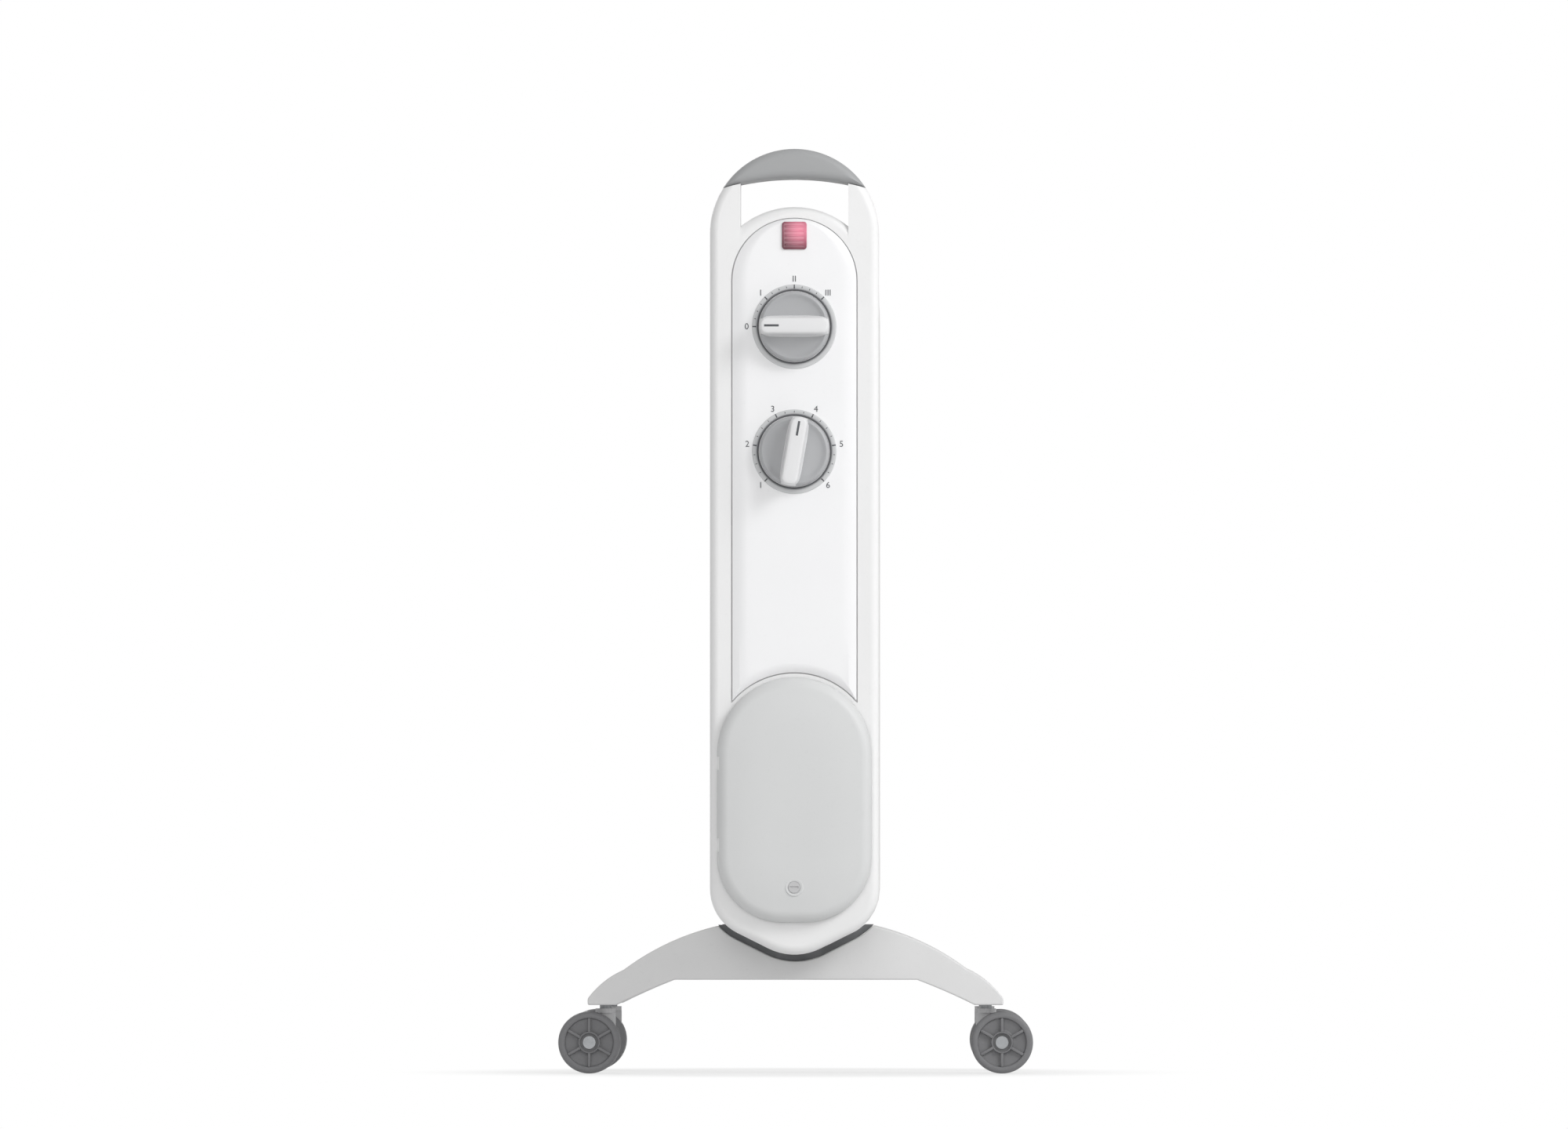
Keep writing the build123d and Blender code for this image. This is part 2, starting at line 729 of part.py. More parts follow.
def front_panel():
    """Panel that carries the lamp, the dials and the knobs, bevelled all round."""
    solid = slab(panel_face(), panel_face_y, housing_front_y + panel_recess)
    front = solid.faces().sort_by(Axis.Y)[0]
    solid = chamfer(front.edges(), panel_bevel_depth)
    cut_front_y = panel_face_y - overrun
    cut_back_y = housing_front_y + panel_recess + overrun
    solid -= slab(lamp_hole(), cut_front_y, cut_back_y)
    joint = panel_joint / 4
    for z in (selector_z, thermostat_z):
        solid -= rod_y(0, z, shaft_radius + shaft_hole_gap, cut_front_y, cut_back_y)
        ring = Pos(0, z) * (Circle(dial_outer_radius + joint) - Circle(dial_inner_radius - joint))
        solid -= slab(ring, cut_front_y, panel_face_y + dial_sunk)
    return solid


def dial_ring(z):
    """Flat ring with the scale, let into the panel round a knob."""
    ring = Pos(0, z) * (Circle(dial_outer_radius) - Circle(dial_inner_radius))
    return slab(ring, panel_face_y - dial_proud, panel_face_y + dial_sunk)


def knob(z, turn):
    """Round skirt with a bar grip, turned clockwise from upright as seen from the front."""
    skirt = rod_y(0, z, knob_radius, knob_back_y - knob_skirt_depth, knob_back_y)
    rim = skirt.faces().sort_by(Axis.Y)[0].edges()
    skirt = fillet(rim, knob_rim_radius)
    outline = Pos(0, z) * RectangleRounded(grip_width, grip_length, grip_corner_radius)
    bar = slab(outline, knob_front_y, knob_back_y - knob_rim_radius)
    bar = chamfer(bar.faces().sort_by(Axis.Y)[0].edges(), grip_chamfer)
    skirt += bar & rod_y(0, z, knob_radius + grip_overhang, knob_front_y, knob_back_y)
    skirt -= rod_y(0, z, shaft_radius, knob_back_y - shaft_in_knob, knob_back_y + overrun)
    turned = Rotation(0, turn, 0)
    return Pos(0, 0, z) * (turned * (Pos(0, 0, -z) * skirt))


def control_shaft(z):
    """Shaft from inside a knob to inside the control behind it."""
    return rod_y(0, z, shaft_radius, knob_back_y - shaft_in_knob, wall_back_y + shaft_in_control)


def control_bore(z):
    """The bore that a control's shaft turns in."""
    end_y = wall_back_y + shaft_in_control + shaft_bore_past_end
    return rod_y(0, z, shaft_radius + running_clearance, wall_back_y - overrun, end_y)


def selector_switch():
    """Body of the heat selector, behind the front wall."""
    half = switch_size / 2
    body = block(0, wall_back_y, selector_z, ((-half, half), (0, switch_depth), (-half, half)))
    return body - control_bore(selector_z)


def room_thermostat():
    """Body of the thermostat, behind the front wall."""
    body = rod_y(0, thermostat_z, thermostat_radius, wall_back_y, wall_back_y + thermostat_depth)
    return body - control_bore(thermostat_z)


def lamp_lens():
    """Red lens of the pilot lamp, with its stub through the panel."""
    outline = Pos(0, lamp_z) * RectangleRounded(lamp_width, lamp_height, lamp_corner)
    cap = slab(outline, panel_face_y - lamp_proud, panel_face_y)
    cap = fillet(cap.faces().sort_by(Axis.Y)[0].edges(), lamp_edge_radius)
    stub = Pos(0, lamp_z) * Rectangle(lamp_body_width, lamp_body_height)
    return cap + slab(stub, panel_face_y, wall_back_y)


def lamp_holder():
    """Holder of the lamp, behind the front wall."""
    face = Pos(0, lamp_z) * RectangleRounded(lamp_width, lamp_height, lamp_corner)
    return slab(face, wall_back_y, wall_back_y + lamp_body_depth)


def thermal_cutout():
    """Round cut-out on the heat shield."""
    z = low_collector_z + cutout_above_element
    return rod_y(0, z, cutout_radius, housing_back_y - cutout_depth, housing_back_y)


def terminal_block():
    """Terminal block on the heat shield."""
    x_size, y_size, z_size = terminal_block_size
    return block(terminal_block_x, housing_back_y, terminal_block_z,
                 ((-x_size / 2, x_size / 2), (-y_size, 0), (-z_size / 2, z_size / 2)))


def wire(points):
    """One insulated wire with rounded bends."""
    path = FilletPolyline(*points, radius=wire_bend)
    start = Plane(origin=points[0], z_dir=path.tangent_at(0))
    return sweep(start * Circle(wire_radius), path=path)


def wiring():
    """Wires from the terminal block to the selector, the thermostat and the element."""
    x, y, z = terminal_block_x, housing_back_y - terminal_block_size[1] / 2, terminal_block_z
    top_z = z + terminal_block_size[2] / 2
    low_z = z - terminal_block_size[2] / 2
    room = wire_turn_room
    right_x, left_x = x + wire_pitch, x - wire_pitch
    switch_y = wall_back_y + switch_depth / 2
    switch_z = selector_z - switch_size / 2
    thermostat_back_y = wall_back_y + thermostat_depth
    thermostat_low_z = (top_z + thermostat_z) / 2
    element_y = housing_back_y - wire_terminal_y
    element_z = low_collector_z + terminal_radius
    side = element_rod_spread
    far_left_x = left_x - wire_pitch
    to_switch = [(right_x, y, top_z), (right_x, y, switch_z - 3 * room),
                 (wire_pitch, switch_y, switch_z - room), (wire_pitch, switch_y, switch_z)]
    to_thermostat = [(left_x, y, top_z), (left_x, y, thermostat_low_z),
                     (wire_pitch, y - room / 2, thermostat_z), (wire_pitch, thermostat_back_y, thermostat_z)]
    to_right_rod = [(left_x, y, low_z), (left_x, y, element_z + 2 * room),
                    (side, element_y, element_z + room), (side, element_y, element_z)]
    to_left_rod = [(far_left_x, y, low_z), (far_left_x, y, low_z - 2 * room), (-side, y, low_z - 4 * room),
                   (-side, y, element_z + 1.5 * room), (-side, element_y, element_z + 0.75 * room),
                   (-side, element_y, element_z)]
    return together([wire(route) for route in (to_switch, to_thermostat, to_right_rod, to_left_rod)])


def tilt_switch_case():
    """Hollow case of the tilt switch, with the pendulum's pin across it."""
    x, y, z = tilt_case_size
    wall = tilt_case_wall
    outer = block(tilt_case_x, housing_back_y, tilt_case_z, ((-x / 2, x / 2), (-y, 0), (-z / 2, z / 2)))
    inner = block(tilt_case_x, housing_back_y, tilt_case_z,
                  ((-x / 2 + wall, x / 2 - wall), (-y + wall, -wall), (-z / 2 + wall, z / 2 - wall)))
    pin_y = (housing_back_y - y + wall, housing_back_y - wall)
    pin = rod_y(tilt_case_x, pendulum_z, pendulum_pin_radius, *pin_y)
    return outer - inner + pin


def tilt_pendulum():
    """Weight that swings when the heater tips."""
    middle_y = housing_back_y - tilt_case_size[1] / 2
    x, z = tilt_case_x, pendulum_z
    half_eye, half_weight = pendulum_eye_depth / 2, pendulum_depth / 2
    half_width, half_depth = pendulum_arm_width / 2, pendulum_arm_depth / 2
    eye = rod_y(x, z, pendulum_eye_radius, middle_y - half_eye, middle_y + half_eye)
    arm = block(x, middle_y, z, ((-half_width, half_width), (-half_depth, half_depth), (-pendulum_arm, 0)))
    weight = rod_y(x, z - pendulum_arm, pendulum_radius, middle_y - half_weight, middle_y + half_weight)
    bore_radius = pendulum_pin_radius + running_clearance
    return eye + arm + weight - rod_y(x, z, bore_radius, middle_y - pendulum_depth, middle_y + pendulum_depth)


def pad_face(low, high):
    """A strip under the body's keel, between two distances from the body."""
    strip = body_face(fin_top_z, high) - body_face(fin_top_z, low)
    limit = Pos(0, foot_horn_z / 2) * Rectangle(3 * foot_tip_x, foot_horn_z)
    return strip & limit


def saddle_pad(y):
    """Soft pad between the fins' keels and a foot."""
    pad = slab(pad_face(pad_clear, pad_outer), y - pad_depth / 2, y + pad_depth / 2)
    for x in (-u_bolt_x, u_bolt_x):
        pad -= rod_z(x, y, u_bolt_radius + seat_gap, 0, low_collector_z)
    return pad


def foot_face():
    """Side of a foot: saddle notch, arched arms and flat tips."""
    horn = (foot_horn_x, foot_horn_z)
    arm = (foot_arm_x, foot_arm_z)
    tip = (foot_tip_x, foot_tip_z)
    under = (foot_under_x, foot_under_z)
    floor = (foot_floor_x, foot_floor_z)
    right = make_face(
        Polyline((0, foot_floor_z), (0, foot_horn_z), horn)
        + ThreePointArc(horn, (foot_shoulder_x, foot_shoulder_z), arm)
        + ThreePointArc(arm, (foot_knee_x, foot_knee_z), tip)
        + Polyline(tip, (foot_tip_x, foot_under_z), under)
        + ThreePointArc(under, (foot_arch_x, foot_arch_z), floor)
        + Line(floor, (0, foot_floor_z))
    )
    whole = right + mirror(right, about=Plane.YZ)
    return whole - body_face(fin_top_z, pad_outer + pad_clear)


def foot_plan(inset):
    """Plan of a foot, narrower at the tips."""
    half = foot_depth / 2 - inset
    tip = foot_tip_half_depth - inset
    x = foot_tip_x - inset
    corners = [(-x, -tip), (-foot_horn_x, -half), (foot_horn_x, -half), (x, -tip),
               (x, tip), (foot_horn_x, half), (-foot_horn_x, half), (-x, tip)]
    return make_face(Polyline(*corners, close=True))


def foot(y):
    """Moulded foot, hollow from below, with a stem socket at each tip."""
    face = foot_face()
    shape = slab(face, y - foot_depth / 2, y + foot_depth / 2)
    shape &= extrude(Plane((0, y, 0)) * foot_plan(0), amount=2 * foot_horn_z)
    inner = offset(face, -foot_wall)
    low = Pos(0, foot_floor_z - foot_wall / 2) * Rectangle(2 * foot_floor_x, 3 * foot_wall)
    hollow = slab(inner + low, y - foot_depth / 2, y + foot_depth / 2)
    hollow &= extrude(Plane((0, y, 0)) * foot_plan(foot_wall), amount=2 * foot_horn_z)
    shape -= hollow
    for side in (-1, 1):
        x = side * castor_x
        socket = rod_z(x, y, stem_radius + stem_socket_wall, foot_under_z, foot_under_z + stem_length)
        shape += socket & slab(face, y - foot_depth / 2, y + foot_depth / 2)
        bore_top_z = foot_under_z + stem_socket_depth
        shape -= rod_z(x, y, stem_radius + running_clearance, foot_under_z - overrun, bore_top_z)
        x = side * u_bolt_x
        seat = rod_z(x, y, wing_nut_radius + nut_seat_rim, nut_seat_z, foot_horn_z)
        shape += seat & slab(face, y - foot_depth / 2, y + foot_depth / 2)
        shape -= rod_z(x, y, u_bolt_radius + seat_gap, 0, foot_horn_z)
    return shape


def u_bolt(y):
    """Bolt that passes over a collector tube and down through the pad and the foot."""
    bend = nipple_radius + seat_gap + u_bolt_radius
    ring = Plane((bend, y, low_collector_z), x_dir=(1, 0, 0), z_dir=(0, 0, 1)) * Circle(u_bolt_radius)
    top = revolve(ring, axis=Axis((0, y, low_collector_z), (0, -1, 0)), revolution_arc=180)
    for side in (-1, 1):
        top += rod_z(side * bend, y, u_bolt_radius, bolt_end_z, low_collector_z)
    return top


def wing_nuts(y):
    """A pair of wing nuts under a foot's seats."""
    nuts = []
    for x in (-u_bolt_x, u_bolt_x):
        nut = rod_z(x, y, wing_nut_radius, nut_seat_z - wing_nut_height, nut_seat_z)
        across = (-wing_thickness / 2, wing_thickness / 2)
        along = (-wing_span / 2, wing_span / 2)
        nut += block(x, y, nut_seat_z, (across, along, (-wing_nut_height, -wing_below_seat)))
        nuts.append(nut - rod_z(x, y, u_bolt_radius, 0, nut_seat_z + overrun))
    return together(nuts)


def castor_hood(x, y, side):
    """Fender between the two wheels, with a web and a collar for the stem."""
    wheel_x = x + side * castor_trail
    half = hood_depth / 2
    disc = Pos(wheel_x, wheel_radius) * Circle(hood_radius)
    disc -= Pos(wheel_x, wheel_radius - hood_radius) * Rectangle(3 * hood_radius, 2 * hood_cut)
    low_x, high_x = sorted((x - side * stem_barrel_radius, wheel_x))
    web = Rectangle(high_x - low_x, hood_web_top - wheel_radius)
    web = Pos((low_x + high_x) / 2, (wheel_radius + hood_web_top) / 2) * web
    shape = slab(disc + web, y - half, y + half)
    shape += rod_z(x, y, stem_barrel_radius, hood_web_top, stem_barrel_top)
    shape -= rod_z(x, y, stem_radius, stem_foot_z, stem_barrel_top + overrun)
    return shape - rod_y(wheel_x, wheel_radius, axle_radius, y - half - overrun, y + half + overrun)


def castor_steel(x, y, side):
    """A castor's stem and its axle, two bars of one finish."""
    wheel_x = x + side * castor_trail
    reach = hood_depth / 2 + hood_gap + wheel_width - wheel_bore_inset
    cap_y = reach + axle_cap_gap
    end_y = cap_y + axle_cap_depth
    stem = rod_z(x, y, stem_radius, stem_foot_z, foot_under_z + stem_socket_depth - seat_gap)
    axle = rod_y(wheel_x, wheel_radius, axle_radius, y - end_y, y + end_y)
    axle += rod_y(wheel_x, wheel_radius, axle_cap_radius, y - end_y, y - cap_y)
    axle += rod_y(wheel_x, wheel_radius, axle_cap_radius, y + cap_y, y + end_y)
    return together([stem, axle])


def castor_wheel(x, y, side, face):
    """One of a castor's two wheels; face is -1 for the front one."""
    wheel_x = x + side * castor_trail
    inner = y + face * (hood_depth / 2 + hood_gap)
    outer = inner + face * wheel_width
    low, high = sorted((inner, outer))
    wheel = rod_y(wheel_x, wheel_radius, wheel_radius, low, high)
    rims = wheel.edges().filter_by(GeomType.CIRCLE)
    wheel = fillet(rims, wheel_edge_radius)
    recess = sorted((outer + face * overrun, outer - face * wheel_bore_inset))
    wheel -= rod_y(wheel_x, wheel_radius, wheel_hub_radius, *recess)
    bore_radius = axle_radius + running_clearance
    return wheel - rod_y(wheel_x, wheel_radius, bore_radius, low - overrun, high + overrun)


def castors():
    """Every piece of the four castors, by node name."""
    pieces = {}
    for end, y in (("front", front_foot_y), ("rear", rear_foot_y)):
        for hand, side in (("left", -1), ("right", 1)):
            x = side * castor_x
            name = f"castor_{end}_{hand}"
            pieces[f"{name}_hood"] = castor_hood(x, y, side)
            pieces[f"{name}_stem_and_axle"] = castor_steel(x, y, side)
            pieces[f"{name}_wheel_a"] = castor_wheel(x, y, side, -1)
            pieces[f"{name}_wheel_b"] = castor_wheel(x, y, side, 1)
    return pieces


nodes = {f"fin_{i + 1}": fin(i) for i in range(fin_count)}
nodes["collector_nipples"] = together([collector_nipples(z) for z in (low_collector_z, high_collector_z)])
nodes["oil_filler_plug"] = oil_filler_plug()
nodes["heating_element"] = heating_element()
nodes["element_gasket"] = element_gasket()
nodes["heat_shield"] = heat_shield()
nodes["thermal_cutout"] = thermal_cutout()
nodes["terminal_block"] = terminal_block()
nodes["tilt_switch_case"] = tilt_switch_case()
nodes["tilt_pendulum"] = tilt_pendulum()
nodes["control_housing"] = housing()
nodes["housing_screws"] = housing_screws()
nodes["handle"] = handle()
nodes["handle_mounts"] = handle_mounts()
nodes["handle_screws"] = handle_screws()
nodes["wiring"] = wiring()
nodes["front_panel"] = front_panel()
nodes["lamp_lens"] = lamp_lens()
nodes["lamp_holder"] = lamp_holder()
nodes["selector_dial"] = dial_ring(selector_z)
nodes["selector_knob"] = knob(selector_z, selector_turn)
nodes["selector_shaft"] = control_shaft(selector_z)
nodes["selector_switch"] = selector_switch()
nodes["thermostat_dial"] = dial_ring(thermostat_z)
nodes["thermostat_knob"] = knob(thermostat_z, thermostat_turn)
nodes["thermostat_shaft"] = control_shaft(thermostat_z)
nodes["room_thermostat"] = room_thermostat()
nodes["cord_store_tray"] = cord_store_tray()
nodes["cord_store_cover"] = cord_store_cover()
nodes["cover_hinge_pins"] = cover_hinge_pins()
nodes["cover_lock"] = cover_lock()
nodes["cord_gland"] = cord_gland()
for end, y in (("front", front_foot_y), ("rear", rear_foot_y)):
    nodes[f"{end}_foot"] = foot(y)
    nodes[f"{end}_saddle_pad"] = saddle_pad(y)
nodes["u_bolts"] = together([u_bolt(front_foot_y), u_bolt(rear_foot_y)])
nodes["wing_nuts"] = together([wing_nuts(front_foot_y), wing_nuts(rear_foot_y)])
nodes.update(castors())

os.makedirs("parts", exist_ok=True)
for name, shape in nodes.items():
    export_step(shape, f"parts/{name}.step")
print(len(nodes), "nodes; front foot Y", front_foot_y, "rear foot Y", rear_foot_y)
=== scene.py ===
"""Oil-filled electric radiator on castors: fins, panel, knobs, cover, feet, wheels and their finishes."""

from math import atan, atan2, cos, hypot, pi, radians, sin, sqrt, tan

import bmesh
import bpy
from bpy.props import FloatProperty, FloatVectorProperty, IntProperty, PointerProperty
from mathutils import Matrix, Vector


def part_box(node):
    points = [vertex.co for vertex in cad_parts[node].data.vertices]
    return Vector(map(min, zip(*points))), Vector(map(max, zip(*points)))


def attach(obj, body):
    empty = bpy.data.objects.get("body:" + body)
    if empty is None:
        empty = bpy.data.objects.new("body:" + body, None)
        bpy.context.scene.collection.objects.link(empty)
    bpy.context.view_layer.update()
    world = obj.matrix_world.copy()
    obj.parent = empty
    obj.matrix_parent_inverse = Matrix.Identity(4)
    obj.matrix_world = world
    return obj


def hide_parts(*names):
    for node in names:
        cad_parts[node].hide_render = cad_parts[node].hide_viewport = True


bl_info = {
    "name": "Oil-filled radiator",
    "version": (1, 0, 0),
    "blender": (4, 5, 0),
    "location": "View3D > Sidebar > Radiator",
    "description": "Models an oil-filled electric radiator and its finishes around a fixed frame",
    "category": "Object",
}

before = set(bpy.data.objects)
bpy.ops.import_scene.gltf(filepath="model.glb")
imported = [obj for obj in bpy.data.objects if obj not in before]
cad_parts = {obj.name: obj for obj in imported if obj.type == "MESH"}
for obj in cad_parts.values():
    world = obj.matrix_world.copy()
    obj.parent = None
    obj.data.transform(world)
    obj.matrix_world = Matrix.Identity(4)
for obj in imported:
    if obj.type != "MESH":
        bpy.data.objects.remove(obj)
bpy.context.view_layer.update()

MM = 0.001
TAU = 2 * pi

# Reference places and names, from the frame
PANEL_LOW, PANEL_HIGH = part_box("front_panel")
COVER_LOW, COVER_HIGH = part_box("cord_store_cover")
FIN_LOW, FIN_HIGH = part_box("fin_1")
FIN_COUNT = sum(name.startswith("fin_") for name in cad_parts)
BODY_HALF = FIN_HIGH.x
PANEL_HALF = PANEL_HIGH.x
PANEL_FACE_Y = PANEL_LOW.y
COVER_HALF = COVER_HIGH.x
CASTORS = ("front_left", "front_right", "rear_left", "rear_right")

# The body's edge: a keel with two sloping sides, rounded at its foot and at its bilges
KEEL_RADIUS = 40 * MM
KEEL_SLOPE = atan(0.5)
KEEL_Z = FIN_LOW.z - KEEL_RADIUS * (1 / cos(KEEL_SLOPE) - 1)
BILGE_RADIUS = 34 * MM

# A fin's pressed oil space, the flat web inside it, and the rows of spot welds
OIL_HALF = 36 * MM
OIL_LOW = KEEL_Z + 24 * MM
OIL_HIGH = FIN_HIGH.z - 22 * MM
OIL_BEND = 0.7 * OIL_HALF
WEB_HALF = 9 * MM
WEB_LOW = OIL_LOW + 46 * MM
WEB_HIGH = OIL_HIGH - 46 * MM
WEB_BEND = 0.98 * WEB_HALF
WELD_ROW_X = 46 * MM
WELD_ROW_LOW = OIL_LOW + 20 * MM
WELD_ROW_HIGH = OIL_HIGH - 40 * MM
FIN_POINTS = 144

# The handle, the controls and the cover
HANDLE_HEIGHT = 20 * MM
HANDLE_UNDER_RADIUS = 180 * MM
DIAL_WIDTH = 4.4 * MM
KNOB_RADIUS = 24 * MM
COVER_BEND = 45 * MM
COVER_WALL = 2.5 * MM
COVER_CROWN_REACH = 34 * MM

# Edges that turn less than this shade as one smooth face, and those that turn more than this are rounded
SMOOTH_ANGLE = radians(32.0)
ROUND_ANGLE = radians(35.0)

# Ways to stretch a finish's noise, two colours that several fittings share, and the stage's white
ALL_WAYS = (1.0, 1.0, 1.0)
ALONG_X = (0.05, 1.0, 1.0)
ALONG_Y = (1.0, 0.05, 1.0)
ALONG_Z = (1.0, 1.0, 0.08)
NATURAL = (0.72, 0.68, 0.58)
BLACK = (0.022, 0.022, 0.024)
WHITE = (1.0, 1.0, 1.0, 1.0)


def srgb(red, green, blue):
    """A linear colour from the 0 to 255 values that a screen shows."""
    shares = [value / 255 for value in (red, green, blue)]
    return tuple(s / 12.92 if s <= 0.04045 else ((s + 0.055) / 1.055) ** 2.4 for s in shares)


def length(name, description, default):
    """A size property in metres."""
    return FloatProperty(name=name, description=description, default=default, min=0.0, precision=5,
                         unit="LENGTH")


def colour(name, description, default):
    """A colour property."""
    return FloatVectorProperty(name=name, description=description, default=default, size=3, min=0.0, max=1.0,
                               subtype="COLOR")


class RadiatorSizes(bpy.types.PropertyGroup):
    """Sizes of the details that the frame leaves open."""

    edge_round: length("Edge rounding", "Radius of the moulded parts' edges", 0.0009)
    panel_bevel: length("Panel bevel width", "How far the panel's rounded border reaches inwards", 0.011)
    panel_drop: length("Panel bevel drop", "How far the border falls away at the panel's edge", 0.0024)
    panel_joint: length("Panel joint", "How much wider the joint round the panel is than the frame's", 0.0004)
    cover_crown: length("Cover crown", "How much the cover bulges in its middle", 0.0022)
    cover_round: length("Cover rounding", "Radius of the cover's rim", 0.0085)
    tick: length("Tick length", "Length of the long marks round a knob", 0.0026)
    figure: length("Figure height", "Height of the numerals round a knob", 0.0044)
    print_depth: length("Print thickness", "Thickness of printed marks", 0.00018)
    tread_groove: length("Tread groove", "Depth of the grooves in a castor wheel's tread", 0.0006)
    spokes: IntProperty(name="Spokes", description="Ribs on a castor wheel's face", default=6, min=3, max=12)
    weld_spots: IntProperty(name="Weld spots", description="Spot welds in one row of a fin", default=9, min=2)


class RadiatorColours(bpy.types.PropertyGroup):
    """Colours of the finishes."""

    enamel: colour("Enamel", "Baked enamel of the fins", srgb(240, 240, 238))
    housing: colour("Housing", "Moulded control housing", srgb(240, 240, 240))
    panel: colour("Panel", "Front panel", srgb(246, 246, 247))
    handle: colour("Handle", "Carrying handle", srgb(166, 167, 168))
    cover: colour("Cover", "Cord store cover", srgb(216, 217, 217))
    foot: colour("Foot", "Moulded feet", srgb(226, 226, 226))
    hood: colour("Castor hood", "Castor fenders", srgb(208, 208, 209))
    wheel: colour("Castor wheel", "Castor wheels", srgb(122, 122, 124))
    knob: colour("Knob", "Knobs' round skirts", srgb(174, 175, 177))
    grip: colour("Grip", "Knobs' bar grips", srgb(230, 230, 231))
    dial: colour("Dial ring", "Rings round the knobs", srgb(208, 209, 210))
    # Painted shade: the rings' dark inner border stands for the shadow in the gap round each knob.
    painted_gap_shade: colour("Knob well", "Dark inner border of the rings", srgb(112, 113, 116))
    ink: colour("Print", "Printed marks and numerals", srgb(84, 86, 90))
    lamp: colour("Lamp", "Pilot lamp lens", srgb(198, 92, 120))
    # Rubber pads whose dark grey is partly their own colour and partly painted shade for the gap between body
    # and saddles.
    pad: colour("Pad", "Rubber pads in the feet's saddles", srgb(118, 119, 121))


def middle_of(node):
    """The middle of a node's box."""
    low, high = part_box(node)
    return (low + high) / 2


def sizes():
    """The size properties of the scene."""
    return bpy.context.scene.radiator_sizes


def colours():
    """The colour properties of the scene."""
    return bpy.context.scene.radiator_colours


class Value:
    """A number that varies over a surface; Python's arithmetic on it adds Math nodes."""

    def __init__(self, finish, socket):
        self.finish = finish
        self.socket = socket

    def apply(self, operation, *others, clamp=False):
        """This value and the others through one Math node."""
        given = {i: other for i, other in enumerate((self, *others))}
        made = self.finish.node("ShaderNodeMath", {"operation": operation, "use_clamp": clamp}, given)
        return Value(self.finish, made.outputs[0])

    def flipped(self, operation, other):
        """The same with this value as the second operand."""
        made = self.finish.node("ShaderNodeMath", {"operation": operation}, {0: other, 1: self})
        return Value(self.finish, made.outputs[0])

    def __add__(self, other):
        return self.apply("ADD", other)

    def __sub__(self, other):
        return self.apply("SUBTRACT", other)

    def __mul__(self, other):
        return self.apply("MULTIPLY", other)

    def __pow__(self, other):
        return self.apply("POWER", other)

    def __radd__(self, other):
        return self.flipped("ADD", other)

    def __rsub__(self, other):
        return self.flipped("SUBTRACT", other)

    def __rmul__(self, other):
        return self.flipped("MULTIPLY", other)

    def clamped(self):
        """The value kept between 0 and 1."""
        return self.apply("ADD", 0.0, clamp=True)


